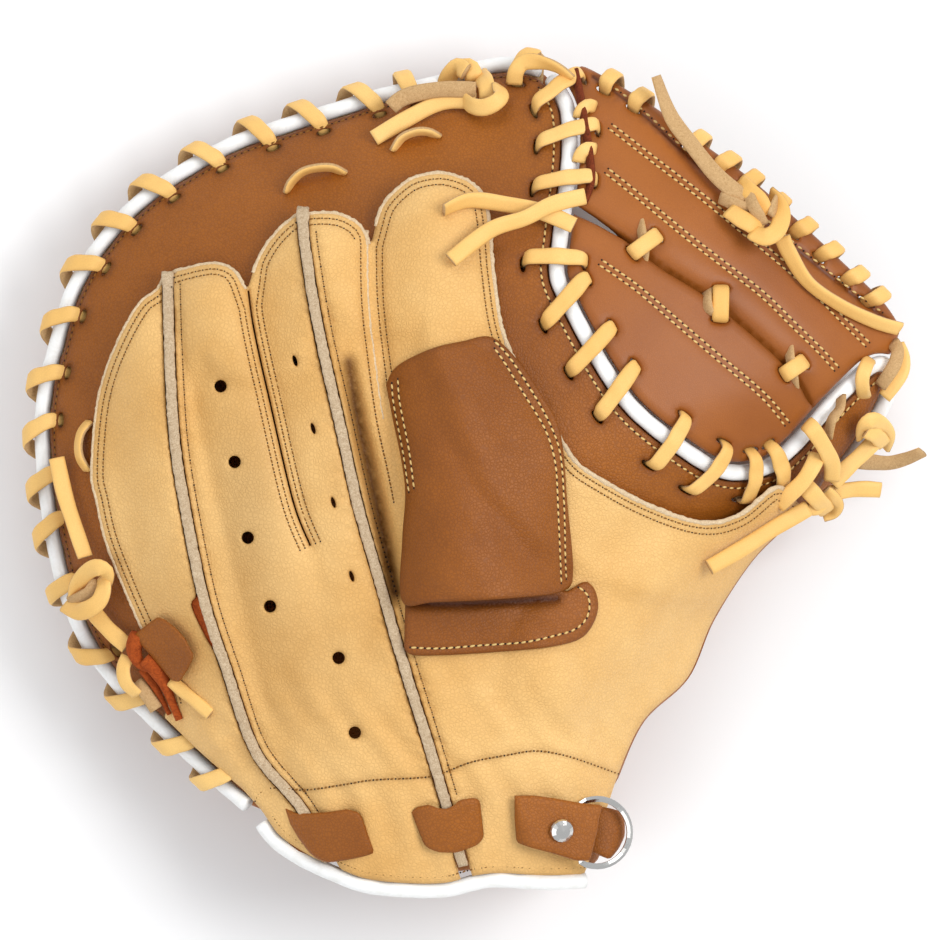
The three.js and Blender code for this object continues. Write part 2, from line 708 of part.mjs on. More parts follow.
// A lace through pattern places, each with its height over the back
function laceRoute(rows) {
  const points = rows.map(([across, down, over]) => {
    const { x, y } = place([across, down]);
    return new THREE.Vector3(x, y, offset(x, y, over));
  });
  return new THREE.CatmullRomCurve3(points);
}

function tail(rows, sides, steps) {
  return tube(laceRoute(rows), laceWidth / 2, laceThick / 2 + 0.1, sides, steps);
}

// A knot of lace: a barrel round the line that it is tied on
function knot({ at: [across, down, over], turn, radius, length }) {
  const half = length / 2;
  const rows = [[0, -half], [0.75, -half], [1, -half * 0.4], [1, half * 0.4], [0.75, half], [0, half]];
  const profile = rows.map(([share, along]) => new THREE.Vector2(share * radius, along));
  const geometry = new THREE.LatheGeometry(profile, 7);
  geometry.rotateZ(Math.PI / 2 + THREE.MathUtils.degToRad(turn));
  const { x, y } = place([across, down]);
  return outward(mergeBare(geometry.translate(x, y, offset(x, y, over))));
}

function mergeBare(geometry) {
  geometry.deleteAttribute('normal');
  geometry.deleteAttribute('uv');
  return mergeVertices(geometry, 1e-4);
}

const tones = {
  brown: { color: '#a4632f', roughness: 0.62, metalness: 0 },
  blond: { color: '#e0b070', roughness: 0.6, metalness: 0 },
  lace: { color: '#efbf70', roughness: 0.55, metalness: 0 },
  rawEdge: { color: '#cdb99b', roughness: 0.9, metalness: 0 },
  piping: { color: '#f4f4f0', roughness: 0.35, metalness: 0 },
  nickel: { color: '#c9cacc', roughness: 0.2, metalness: 1 },
};

const mitt = new THREE.Group();

function addPiece(name, geometry, tone) {
  const material = new THREE.MeshStandardMaterial(tones[tone]);
  const mesh = new THREE.Mesh(geometry.translate(bodyShift.x, bodyShift.y, 0), material);
  mesh.name = name;
  mitt.add(mesh);
}

const rimRoute = whipRoute(rim, rimWraps, rimTurn);
const crotchRoute = whipRoute(crotch, crotchWraps, crotchTurn);
const webRoute = whipRoute(line(webOuter), webEdgeWraps, webTurn);
const wristInset = beside(wrist, 3.4).reverse();
const bodyEdge = [
  ...beside(rim, -seamInset), ...beside(crotch, -seamInset), ...beside(line(thumbSide), -0.8),
  ...wristInset,
];
const body = prism(bodyEdge);

// Palm
const palmEdge = [...rim, ...crotch, ...line(thumbSide), ...line(heelLine)];
addPiece('palm', asGeometry(sheet(palmEdge, palmUnder, palmTop, palmLattice)), 'brown');

// Shell, with a slot for each wrap of lace
const crotchBand = prism(strip(crotch, 2 * pipingRadius + 2.4));
const pipingPassage = bareSolid(piping(crotch, pipingRadius + passageRoom));
const rimSlots = slots(rim, rimWraps, rimTurn, 0);
const crotchSlots = slots(crotch, crotchWraps, crotchTurn, 0);
const shell = sheet(shellOutline, shellUnder, shellTop).intersect(body);
const shellCuts = [
  crotchBand, ...rimSlots.slice(1), ...crotchSlots, passage(crotchRoute), pipingPassage,
];
addPiece('back_shell', asGeometry(without(shell, shellCuts)), 'brown');

// The wrist strap runs over the panels and under them, through a slot at each change
const strapPoints = strapRoute.map(({ across, down, over, lift = 0 }) => {
  const { x, y } = place([across, down]);
  const level = over ? panelTop(x, y) + strapOver + lift : panelUnder(x, y) - strapUnder;
  return new THREE.Vector3(x, y, level);
});
const strapWidths = strapPoints.map(() => new THREE.Vector3(0, 1, 0));
const strapPath = { points: strapPoints, widths: strapWidths, width: strapWidth, thick: strapThick };
const strapPassage = passage(strapPath);

// A geometry laid on the panels, tilted as they slope there
function onPanels(geometry, spot, over) {
  const { x, y } = place(spot);
  const reach = ringRadius;
  const sides = [panelTop(x + reach, y), panelTop(x - reach, y)];
  const ends = [panelTop(x, y + reach), panelTop(x, y - reach)];
  const level = (sides[0] + sides[1] + ends[0] + ends[1]) / 4;
  const slopeX = (sides[0] - sides[1]) / (2 * reach);
  const slopeY = (ends[0] - ends[1]) / (2 * reach);
  const normal = new THREE.Vector3(-slopeX, -slopeY, 1).normalize();
  const turn = new THREE.Quaternion().setFromUnitVectors(new THREE.Vector3(0, 0, 1), normal);
  geometry.applyQuaternion(turn);
  return geometry.translate(x, y, level + over);
}

// The ring: a round bow closed by a straight bar, which the strap holds down
function ringOf(wire) {
  const open = Math.acos(ringBar / ringRadius);
  const bow = [];
  for (let step = -7; step <= 7; step += 1) {
    const turn = (open * step) / 7;
    bow.push(new THREE.Vector3(Math.cos(turn) * ringRadius, Math.sin(turn) * ringRadius, 0));
  }
  const bar = [6, 2, -2, -6].map((across) => new THREE.Vector3(ringBar, across, 0));
  const path = new THREE.CatmullRomCurve3([...bow, ...bar], true);
  const { x, y } = place(ringAt);
  const tilt = THREE.MathUtils.degToRad(ringTilt);
  const level = panelTop(x + ringBar, y) + ringOver + ringBar * Math.sin(tilt);
  return new THREE.TubeGeometry(path, 34, wire, 6, true).rotateY(tilt).translate(x, y, level);
}

// Back panels between the welts
const weltEnds = { left: [352, 902], right: [475, 908] };
const leftSeam = line([...weltLeft, weltEnds.left]);
const rightSeam = line([...weltRight, weltEnds.right]);
const seamTops = { left: [167, 255], right: [303, 200] };
const panelCuts = [
  prism(strip(line([seamTops.left, ...weltLeft, weltEnds.left]), weltGap)),
  prism(strip(line([seamTops.right, ...weltRight, weltEnds.right]), weltGap)),
];
const leftEdge = [
  ...line(leftPanelEdge), ...places([[150, 745], [190, 850], [300, 910]]), ...leftSeam.toReversed(),
];
const left = without(sheet(leftEdge, panelUnder, panelTop).intersect(body), [
  ...panelCuts, ...rimSlots.slice(0, 2), passage(rimRoute), strapPassage,
]);
addPiece('panel_left', asGeometry(left), 'blond');

const vents = ventHoles.map((hole) => {
  const spot = place(hole);
  const circle = new THREE.Shape().absarc(spot.x, spot.y, ventRadius, 0, 2 * Math.PI);
  return prism(circle.getSpacedPoints(6).slice(0, 6));
});
const centreEdge = [...leftSeam, ...rightSeam.toReversed(), ...line(centrePanelTop).reverse()];
const centre = without(sheet(centreEdge, panelUnder, panelTop).intersect(body), [
  ...panelCuts, ...vents, strapPassage, prism(strip(line(fingerSlit), slitWidth)),
]);
addPiece('panel_centre', asGeometry(centre), 'blond');

const rightEdge = [
  ...rightSeam, ...places([[600, 910], [660, 780], [740, 660], [830, 540]]),
  ...line(rightPanelTop).reverse(),
];
const fingerHole = new THREE.Shape();
fingerHole.absellipse(...place(hoodHole.at), ...hoodHole.half, 0, 2 * Math.PI);
const right = without(sheet(rightEdge, panelUnder, panelTop).intersect(body), [
  ...panelCuts,
  passage(crotchRoute),
  strapPassage,
  bareSolid(ringOf(ringWire + passageRoom)),
  prism(strip(line(indexSlit), slitWidth)),
  prism(fingerHole.getSpacedPoints(12).slice(0, 12)),
]);
addPiece('panel_right', asGeometry(right), 'blond');

// Welts standing between the panels
function welt(rows) {
  const points = raised(rows, (x, y) => panelTop(x, y) + weltStand - weltTall / 2, 12);
  return ribbon(points, sideways(points), weltWidth, weltTall);
}

addPiece('welt_left', welt(weltLeft), 'rawEdge');
addPiece('welt_right', welt(weltRight), 'rawEdge');

// Hood over the index finger and the patch below its mouth
addPiece('index_hood', asGeometry(sheet(line(hoodEdge), hoodUnder, hoodTop)), 'brown');
addPiece('hood_base', asGeometry(sheet(line(hoodBaseEdge), patchUnder, patchTop)), 'brown');

// Web of two bars, pierced where the laces pass
const ties = webTies.map(({ upper, lower }) => {
  const ends = [upper, lower].map((spot) => place(spot));
  const at = (end, up) => new THREE.Vector3(end.x, end.y, offset(end.x, end.y, up));
  const points = [at(ends[0], -3.4), at(ends[0], 4.8), at(ends[1], 4.8), at(ends[1], -3.4)];
  const across = new THREE.Vector3(ends[0].y - ends[1].y, ends[1].x - ends[0].x, 0).normalize();
  const widths = points.map(() => across);
  return { points, widths, width: laceWidth, thick: laceThick };
});
const webEdge = line(webOuter);
const webCuts = [
  crotchBand,
  ...slots(crotch, crotchWraps, crotchTurn, crotchSink),
  ...slots(webEdge, webEdgeWraps, webTurn, 0),
  ...ties.map(passage),
  passage(crotchRoute),
  pipingPassage,
];
const upperBar = sheet([...line(webOuter), ...line(webUpperLower)], webUnder, webTop, webLattice);
addPiece('web_upper', asGeometry(without(upperBar, webCuts)), 'brown');
const lowerBar = sheet(line(webLowerEdge), webUnder, webTop, webLattice);
addPiece('web_lower', asGeometry(without(lowerBar, webCuts)), 'brown');
ties.forEach((tie, index) => addPiece(`web_tie_${index + 1}`, band(tie), 'lace'));

// Piping
addPiece('rim_piping', piping(rim), 'piping');
addPiece('crotch_piping', piping(crotch), 'piping');
addPiece('wrist_piping', piping(wrist), 'piping');

// Laces wound round the seams
addPiece('rim_lace', band(rimRoute), 'lace');
addPiece('crotch_lace', band(crotchRoute), 'lace');
addPiece('web_edge_lace', band(webRoute), 'lace');

// Free laces, tails and knots
Object.entries(laces).forEach(([name, rows]) => {
  const isCord = cordNames.includes(name);
  addPiece(name, tail(rows, isCord ? 8 : 4, isCord ? 6 : 4), 'lace');
});
Object.entries(knots).forEach(([name, shape]) => addPiece(name, knot(shape), 'lace'));

// Pull tab, a roll of leather
addPiece('pull_tab', tube(laceRoute(tabRoute), 5.4, 3.4, 8, 6), 'brown');

// Wrist strap with its ring and rivet
addPiece('wrist_strap', band(strapPath), 'brown');

const rivetProfile = [[0, 0], [1, 0], [0.92, 0.7], [0.6, 1.5], [0, 1.9]].map(([share, up]) => (
  new THREE.Vector2(share * rivetRadius, up)
));
const rivet = new THREE.LatheGeometry(rivetProfile, 16).rotateX(Math.PI / 2);
const rivetOver = strapOver + strapThick / 2 + rivetLift;
addPiece('rivet', outward(mergeBare(onPanels(rivet, rivetAt, rivetOver))), 'nickel');
addPiece('ring', outward(mergeBare(ringOf(ringWire))), 'nickel');

export default mitt;
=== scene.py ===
# Catcher mitt lying palm down. Tables count in pattern steps and heights in millimetres.
import bpy
import math
import random
import numpy as np
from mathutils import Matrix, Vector, geometry


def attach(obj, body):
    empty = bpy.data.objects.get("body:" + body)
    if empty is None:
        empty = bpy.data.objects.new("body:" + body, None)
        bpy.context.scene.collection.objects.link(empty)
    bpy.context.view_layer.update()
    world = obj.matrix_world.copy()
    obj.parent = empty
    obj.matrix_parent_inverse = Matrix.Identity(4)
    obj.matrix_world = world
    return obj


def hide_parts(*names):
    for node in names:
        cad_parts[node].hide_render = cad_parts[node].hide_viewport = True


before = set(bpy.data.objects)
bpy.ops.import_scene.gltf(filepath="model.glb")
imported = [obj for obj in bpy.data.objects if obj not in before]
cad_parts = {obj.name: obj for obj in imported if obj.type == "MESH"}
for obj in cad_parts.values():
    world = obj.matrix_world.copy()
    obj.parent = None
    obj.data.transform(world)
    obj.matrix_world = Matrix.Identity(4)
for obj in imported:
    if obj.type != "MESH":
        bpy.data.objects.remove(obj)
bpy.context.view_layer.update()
dice = random.Random(11)

patternStep = 0.34
patternMiddle = (464.5, 475)
domeMiddle = (470, 470)
bodyShift = (-2.72, -1.47)
leather = 2.6
gap = 0.4

# Camera, light and floor
view = {"at": (470, 470), "level": 50, "lens": 400, "sensor": 36, "span": 940, "far": 20}
lights = {
    "key": {"at": (1.0, 0.25, 1.5), "size": 0.8, "power": 18},
    "top": {"at": (-0.3, 1.3, 1.3), "size": 1.0, "power": 6},
    "fill": {"at": (-0.9, -0.7, 1.4), "size": 1.4, "power": 7},
}
sky = {"Color": (0.95, 0.97, 1, 1), "Strength": 0.66}
floorLook = {"Base Color": (0.93, 0.93, 0.93, 1), "Roughness": 0.8}


def place(rows):
    rows = np.atleast_2d(np.array(rows, float))[:, :2]
    return (rows - patternMiddle) * (patternStep, -patternStep)


def metres(points):
    points = np.array(points, float)
    points[..., 0] += bodyShift[0]
    points[..., 1] += bodyShift[1]
    return points / 1000


def addCamera():
    camera = bpy.data.objects.new("camera", bpy.data.cameras.new("camera"))
    bpy.context.scene.collection.objects.link(camera)
    camera.data.lens = view["lens"]
    camera.data.sensor_width = view["sensor"]
    camera.data.clip_end = view["far"]
    x, y = place([view["at"]])[0]
    away = view["lens"] / view["sensor"] * view["span"] * patternStep
    camera.location = metres([x, y, view["level"] + away])
    bpy.context.scene.camera = camera


def addLight(name, look):
    light = bpy.data.objects.new(name, bpy.data.lights.new(name, "AREA"))
    light.data.size = look["size"]
    light.data.energy = look["power"]
    light.location = look["at"]
    light.rotation_euler = (-Vector(look["at"])).to_track_quat("-Z", "Y").to_euler()
    bpy.context.scene.collection.objects.link(light)


def newMaterial(name, sockets):
    made = bpy.data.materials.new(name)
    made.use_nodes = True
    shader = made.node_tree.nodes["Principled BSDF"].inputs
    for label, value in sockets.items():
        shader[label].default_value = value
    return made, made.node_tree, shader


def addFloor():
    bpy.ops.mesh.primitive_plane_add(size=8, location=(0, 0, -0.0004))
    floor = bpy.context.object
    floor.name = "floor"
    floor.data.materials.append(newMaterial("floor_pale", floorLook)[0])


addCamera()
addFloor()
for name, look in lights.items():
    addLight(name, look)
world = bpy.data.worlds.new("studio")
bpy.context.scene.world = world
world.use_nodes = True
for label, value in sky.items():
    world.node_tree.nodes["Background"].inputs[label].default_value = value
bpy.context.scene.view_settings.view_transform = "Standard"
print("stage ready")

# The form by direction about the middle: turn in degrees, reach, seam height, end of the hollow
form = np.array([
    (0, 129, 34, 86), (10, 145, 42, 104), (18, 154, 46, 160), (30, 146, 54, 200),
    (50, 137, 60, 200), (66, 138, 54, 170), (76, 143, 44, 112), (90, 137, 39, 98),
    (106, 131, 38, 96), (120, 134, 37, 98), (135, 143, 36, 104), (150, 148, 36, 106),
    (180, 147, 36, 106), (205, 142, 38, 100), (228, 136, 48, 86), (240, 139, 60, 78),
    (255, 144, 71, 76), (272, 139, 74, 76), (286, 144, 70, 74), (297, 113, 56, 72),
    (312, 105, 36, 62), (328, 98, 30, 60), (344, 105, 30, 68),
], float)
dome = {"top": 92, "power": 2.4, "farthest": 1.2, "steepest": 1.5}
body = {"skin": 4.2, "channel": 6.8, "channelFrom": 17, "channelTo": 27, "roll": 0.86, "tall": 34,
        "bowl": 0.4, "floor": 13, "least": 2}
border = {"seam": -3.2, "thumb": -0.8, "wrist": 2.3}
slitDip = {"depth": 1.4, "half": 3.6}
valley = {"depth": 8.5, "half": 3.4, "low": 20, "high": 50}
hood = {"rise": 14, "power": 0.8, "crown": 0.7, "narrow": 2.3}
web = {"lift": 2.8, "thick": 3.8, "drop": 4.6, "reach": 9, "under": 0.4, "edge": 0.3}

# Room for fingers and hand: both ends, radii, depth below, lift above
rooms = [
    ((140, 322), (232, 735), (12, 17), (11, 15), (5, 4)),
    ((212, 300), (300, 690), (12, 16), (12, 15), (6, 3)),
    ((318, 245), (372, 600), (16, 18), (12, 16), (7, 3)),
    ((432, 205), (450, 560), (17, 18), (13, 16), (8, 4)),
    ((770, 505), (560, 660), (10, 20), (11, 18), (3, 6)),
    ((405, 640), (425, 900), (46, 50), (26, 38), (3, 1)),
]
dents = [((382, 500), (11, 42), 6), ((600, 742), (16, 10), 2.5), ((190, 655), (12, 18), 3)]

rimLine = [
    (248, 804), (205, 768), (148, 714), (114, 680), (83, 636), (60, 575), (46, 500), (41, 430),
    (45, 385), (54, 349), (73, 287), (110, 231), (153, 190), (226, 146), (281, 126), (332, 110),
    (385, 94), (439, 82), (478, 68), (510, 64), (540, 69),
]
crotchLine = [
    (552, 80), (567, 110), (569, 152), (565, 195), (559, 243), (556, 276), (568, 306), (601, 367),
    (633, 411), (681, 449), (722, 471), (763, 468), (792, 446), (820, 415), (846, 388), (868, 368),
    (884, 364), (892, 376), (886, 400), (864, 440), (838, 476),
]
thumbSide = [(835, 485), (787, 529), (753, 564), (716, 622), (690, 680), (645, 722), (618, 779)]
wristLine = [
    (263, 822), (276, 839), (303, 857), (339, 873), (374, 884), (440, 887), (489, 877), (543, 879),
    (584, 878),
]
heelLine = [(604, 800), (592, 864), (500, 868), (440, 874), (374, 870), (310, 845), (268, 812)]
shellInner = [
    (806, 512), (760, 536), (700, 548), (640, 535), (585, 508), (545, 470), (515, 420), (484, 350),
    (470, 300), (462, 220), (430, 205), (404, 225), (390, 280), (362, 262), (330, 244), (285, 262),
    (262, 320), (246, 322), (215, 296), (182, 300), (160, 328), (132, 380), (122, 450), (130, 520),
    (150, 590), (172, 640), (190, 700),
]
weltLeft = [
    (169, 274), (172, 358), (177, 439), (188, 510), (206, 598), (229, 670), (257, 750), (303, 807),
    (330, 858),
]
weltRight = [
    (304, 212), (306, 244), (320, 329), (340, 418), (360, 508), (383, 589), (404, 661), (426, 732),
    (445, 796), (463, 862),
]
fingerSlit = [(250, 292), (256, 331), (272, 403), (295, 501), (312, 545)]
indexSlit = [(371, 232), (372, 300), (379, 365), (387, 420), (397, 465), (404, 500)]
valleyPath = [(347, 340), (357, 410), (372, 480), (387, 547), (396, 592)]
leftPanelEdge = [
    (166, 272), (158, 290), (141, 303), (122, 335), (105, 375), (96, 415), (92, 474), (97, 501),
    (106, 540), (125, 589), (142, 628), (160, 668), (170, 705),
]
centrePanelTop = [
    (174, 272), (199, 266), (218, 264), (236, 271), (248, 290), (254, 274), (260, 259), (271, 241),
    (286, 225), (300, 215),
]
rightPanelTop = [
    (308, 215), (326, 214), (345, 217), (362, 228), (371, 246), (376, 228), (382, 209), (394, 194),
    (411, 181), (428, 176), (444, 175), (460, 179), (472, 185), (484, 199), (490, 228), (494, 276),
    (504, 336), (530, 390), (558, 436), (574, 460), (592, 474), (645, 503), (699, 521), (737, 514),
    (776, 486), (800, 505),
]
hoodEdge = [
    (387, 386), (394, 371), (410, 360), (436, 349), (463, 343), (492, 339), (520, 365), (540, 395),
    (555, 420), (562, 450), (566, 500), (572, 572), (561, 590), (511, 596), (436, 600), (403, 600),
    (403, 540), (406, 494), (402, 460), (394, 422),
]
hoodBaseEdge = [
    (404, 606), (440, 606), (511, 603), (556, 600), (576, 584), (585, 580), (594, 589), (597, 607),
    (590, 626), (577, 638), (547, 645), (494, 650), (440, 653), (410, 652), (404, 640),
]
webOuter = [
    (578, 67), (584, 66), (615, 83), (660, 112), (700, 143), (750, 180), (800, 224), (850, 270),
    (884, 303), (901, 328),
]
webLowerEdge = [
    (562, 214), (576, 218), (594, 226), (612, 236), (624, 243), (648, 262), (663, 273), (702, 297),
    (729, 319), (746, 333), (778, 362), (797, 385), (805, 400), (816, 418), (792, 446), (763, 468),
    (722, 471), (681, 449), (633, 411), (601, 367), (568, 306), (556, 276), (559, 243),
]
# Lace wraps: where each crosses its seam, and how far its inner end is behind, in millimetres
rimWraps = [
    (216, 777, 4.2), (177, 745, 4.2), (125, 702, 4.2), (95, 650, 4.2), (62, 590, -2), (53, 531, -4),
    (42, 484, -4), (37, 432, -4), (42, 379, -4), (60, 321, -4), (87, 268, -4), (116, 227, -4),
    (156, 190, -4), (202, 159, -4), (255, 136, -4), (309, 118, -4), (365, 101, -4), (408, 83, -2),
    (528, 66, 3),
]
crotchWraps = [
    (558, 97, -1.4), (566, 138, -3), (560, 187, -2.6), (553, 264, -1), (563, 303, -4),
    (588, 354, -3.2), (614, 391, -3.4), (663, 438, 0), (702, 465, 2), (745, 474, 2.6),
    (772, 467, 2.4),
]
webEdgeWraps = [
    (615, 83, 1.2), (640, 101, 1.2), (699, 142, 1.2), (724, 164, 1.2), (752, 182, 1.2),
    (779, 207, 1.2), (805, 230, 1.2), (830, 253, 1.2), (853, 274, 1.2), (874, 296, 1.2),
]
webTies = [((657, 236), (630, 256)), ((719, 288), (718, 322)), ((803, 361), (781, 376))]

# Laces by place with height over the back
laces = {
    "shell_loop_1": [
        (288, 192, 3), (292, 183, 5.4), (303, 173, 7), (318, 169, 7), (333, 169, 6), (344, 174, 3),
    ],
    "shell_loop_2": [
        (394, 151, 3), (402, 139, 5.8), (416, 133, 7), (428, 133, 6), (437, 137, 3),
    ],
    "shell_loop_3": [(90, 422, 3), (82, 432, 5.4), (79, 446, 6.4), (81, 459, 5.6), (88, 470, 3)],
    "top_tail_a": [(476, 91, 9), (446, 90, 10), (421, 93, 10), (402, 99, 9.4), (391, 108, 8)],
    "top_tail_b": [(476, 102, 6.4), (452, 101, 6.4), (433, 106, 6), (406, 120, 5.6), (374, 139, 5.2)],
    "crossing_tail_a": [
        (573, 228, 8.4), (540, 214, 8.4), (506, 207, 9.6), (470, 203, 13.4), (444, 213, 16.6),
    ],
    "crossing_tail_b": [
        (584, 199, 10.6), (552, 207, 11.6), (524, 221, 11.6), (490, 233, 13.6), (451, 263, 17),
    ],
    "web_tail": [
        (744, 200, 10.4), (728, 189, 9), (711, 173, 8.4), (690, 146, 8.2), (670, 118, 9.5),
        (655, 78, 16),
    ],
    "web_long_lace": [
        (780, 238, 9.4), (786, 252, 8), (806, 283, 6.4), (839, 306, 6.2), (874, 322, 6.2),
        (899, 329, 6.2),
    ],
    "corner_lace": [(805, 424, 6), (811, 430, 9.4), (822, 446, 11), (831, 464, 12), (831, 480, 12)],
    "thumb_lace": [(876, 440, 9), (862, 454, 9.6), (848, 467, 10.4), (832, 484, 11)],
    "thumb_tail_upper": [(861, 461, 6), (889, 463, 8), (907, 459, 12), (924, 452, 17)],
    "thumb_tail_lower": [(828, 494, 11), (849, 490, 14), (865, 489, 18), (881, 490, 22)],
    "thumb_tail": [(808, 508, 14), (770, 530, 13), (740, 549, 14), (708, 567, 14)],
    "side_tail": [(86, 557, 9), (76, 528, 8.6), (65, 494, 8.4), (57, 458, 8.4)],
    "tab_lace": [(93, 611, 9), (109, 629, 8.6), (128, 646, 8.6)],
}
cordNames = [
    "crossing_tail_a", "crossing_tail_b", "web_tail", "web_long_lace", "thumb_tail", "side_tail",
]
lace = {"width": 5.6, "thick": 1.7}


def ease(low, high, value):
    share = np.clip((value - low) / (high - low), 0, 1)
    return share * share * (3 - 2 * share)


def resample(points, spacing, closed=False):
    if closed:
        points = np.vstack([points, points[:1]])
    lengths = np.r_[0, np.cumsum(np.linalg.norm(np.diff(points, axis=0), axis=1))]
    count = max(2, int(round(lengths[-1] / spacing)))
    at = np.linspace(0, lengths[-1], count + 1)
    made = np.column_stack([np.interp(at, lengths, column) for column in points.T])
    return made[:-1] if closed else made


def curve(points, spacing=None):
    # Catmull-Rom through points of any dimension, evenly spaced
    points = np.array(points, float)
    padded = np.vstack([points[:1], points, points[-1:]])
    t = np.linspace(0, 1, 16, endpoint=False)[:, None]
    parts = []
    for a, b, c, d in zip(padded, padded[1:], padded[2:], padded[3:]):
        parts.append(0.5 * (2 * b + (c - a) * t + (2 * a - 5 * b + 4 * c - d) * t ** 2
                            + (3 * b - a - 3 * c + d) * t ** 3))
    parts.append(points[-1:])
    made = np.vstack(parts)
    return made if spacing is None else resample(made, spacing)


def line(rows, spacing=2.0):
    return curve(place(rows), spacing)


def unit(ways):
    return ways / np.maximum(np.linalg.norm(ways, axis=-1, keepdims=True), 1e-9)


def leftOf(ways):
    return np.stack([-ways[..., 1], ways[..., 0]], axis=-1)


def tangents(points, closed=False):
    return unit(np.roll(points, -1, 0) - np.roll(points, 1, 0) if closed else np.gradient(points, axis=0))


def beside(points, distance):
    return points + leftOf(tangents(points)) * distance


def distanceTo(points, at, closed=False):
    # Distance from each place to a line
    if closed:
        points = np.vstack([points, points[:1]])
    start, way = points[:-1], np.diff(points, axis=0)
    size = np.maximum((way ** 2).sum(1), 1e-12)
    best = np.full(len(at), np.inf)
    for first in range(0, len(at), 4000):
        part = at[first:first + 4000]
        off = part[:, None, :] - start[None]
        share = np.clip((off * way).sum(2) / size, 0, 1)
        away = off - share[..., None] * way
        best[first:first + 4000] = np.sqrt((away ** 2).sum(2)).min(1)
    return best


def isInside(outline, at):
    x, y = at[:, 0], at[:, 1]
    inside = np.zeros(len(at), bool)
    for (ax, ay), (bx, by) in zip(outline, np.roll(outline, -1, 0)):
        if ay != by:
            inside ^= ((ay > y) != (by > y)) & (x < (bx - ax) * (y - ay) / (by - ay) + ax)
    return inside


domeAt = place([domeMiddle])[0]


def formValues(turn):
    # Reach, seam height and hollow for each direction, by a closed cubic through the table
    turns = form[:, 0]
    count = len(turns)
    last = np.searchsorted(turns, turn, side="right") - 1
    after, before, beyond = (last + 1) % count, (last - 1) % count, (last + 2) % count
    span = (turns[after] - turns[last]) % 360
    t = ((turn - turns[last]) / span)[:, None]
    values = form[:, 1:]
    left = (turns[last] - turns[before]) % 360
    right = (turns[beyond] - turns[after]) % 360
    slopeA = (values[after] - values[before]) / (span + left)[:, None] * span[:, None]
    slopeB = (values[beyond] - values[last]) / (span + right)[:, None] * span[:, None]
    return ((2 * t ** 3 - 3 * t ** 2 + 1) * values[last] + (t ** 3 - 2 * t ** 2 + t) * slopeA
            + (3 * t ** 2 - 2 * t ** 3) * values[after] + (t ** 3 - t ** 2) * slopeB)


def outlineShare(at):
    away = at - domeAt
    turn = np.degrees(np.arctan2(away[:, 1], away[:, 0])) % 360
    values = formValues(turn)
    radius = np.hypot(away[:, 0], away[:, 1])
    return values, radius, np.minimum(radius / values[:, 0], dome["farthest"])


def backHeight(at):
    at = np.atleast_2d(at)
    values, _, share = outlineShare(at)
    height = values[:, 1] + (dome["top"] - values[:, 1]) * (1 - share ** dome["power"])
    for where, half, depth in dents:
        height -= depth * np.exp(-(((at - place([where])[0]) / half) ** 2).sum(1))
    return height


def roomShares(at):
    for start, end, radii, depth, lift in rooms:
        a, b = place([start, end])
        way = b - a
        share = np.clip(((at - a) @ way) / (way @ way), 0, 1)
        away = np.linalg.norm(at - a - share[:, None] * way, axis=1)
        yield away, *[pair[0] + (pair[1] - pair[0]) * share for pair in (radii, depth, lift)]


def roomDepth(at):
    depths = [d * np.sqrt(np.maximum(0, 1 - (away / r) ** 2)) for away, r, d, _ in roomShares(at)]
    return np.max(depths, axis=0)


def stallLift(at):
    lifts = [rise * np.maximum(0, 1 - (away / (r + 5)) ** 2) ** 1.5
             for away, r, _, rise in roomShares(at)]
    return np.max(lifts, axis=0)


def slopeFactor(at):
    near = 3
    slopeX = (backHeight(at + (near, 0)) - backHeight(at - (near, 0))) / (2 * near)
    slopeY = (backHeight(at + (0, near)) - backHeight(at - (0, near))) / (2 * near)
    return np.minimum(np.sqrt(1 + slopeX ** 2 + slopeY ** 2), dome["steepest"])


def offset(at, distance):
    at = np.atleast_2d(at)
    return backHeight(at) + distance * slopeFactor(at)


rim, crotch, wrist = line(rimLine), line(crotchLine), line(wristLine)
shellEdge = line(shellInner)
shellOutline = np.vstack([beside(rim, border["seam"])[27:], beside(crotch, border["seam"]), shellEdge])


def palmTop(at):
    seam = np.minimum(distanceTo(rim, at), distanceTo(crotch, at))
    channel = body["channel"] * (1 - ease(body["channelFrom"], body["channelTo"], seam))
    return offset(at, -np.maximum(np.maximum(roomDepth(at), channel), body["skin"]))


def palmUnder(at):
    values, radius, share = outlineShare(at)
    roll = np.clip((share - body["roll"]) / (1 - body["roll"]), 0, 1)
    edge = np.minimum(values[:, 1] - 10, body["tall"]) * (1 - np.sqrt(1 - roll * roll))
    bowl = 1 - ease(body["bowl"], 1, radius / values[:, 2])
    top = palmTop(at)
    return np.minimum(np.maximum(edge, (top - body["floor"]) * bowl), top - body["least"])


slitLines = [line(fingerSlit), line(indexSlit)]
valleyLine = line(valleyPath)


def panelOffset(at):
    onShell = isInside(shellOutline, at)
    away = np.where(onShell, 0, distanceTo(shellEdge, at))
    lift = stallLift(at)
    for slit in slitLines:
        lift = lift - slitDip["depth"] * np.exp(-(distanceTo(slit, at) / slitDip["half"]) ** 2)
    return gap + (leather + gap) * (1 - ease(15, 24, away)) + lift


def panelBase(at):
    at = np.atleast_2d(at)
    return offset(at, panelOffset(at) + leather)


def panelTop(at):
    # The deep fold between the middle stall and the seam beside it
    at = np.atleast_2d(at)
    near = np.exp(-(distanceTo(valleyLine, at) / valley["half"]) ** 2)
    return panelBase(at) - valley["depth"] * near * (1 - ease(valley["low"], valley["high"], at[:, 1]))


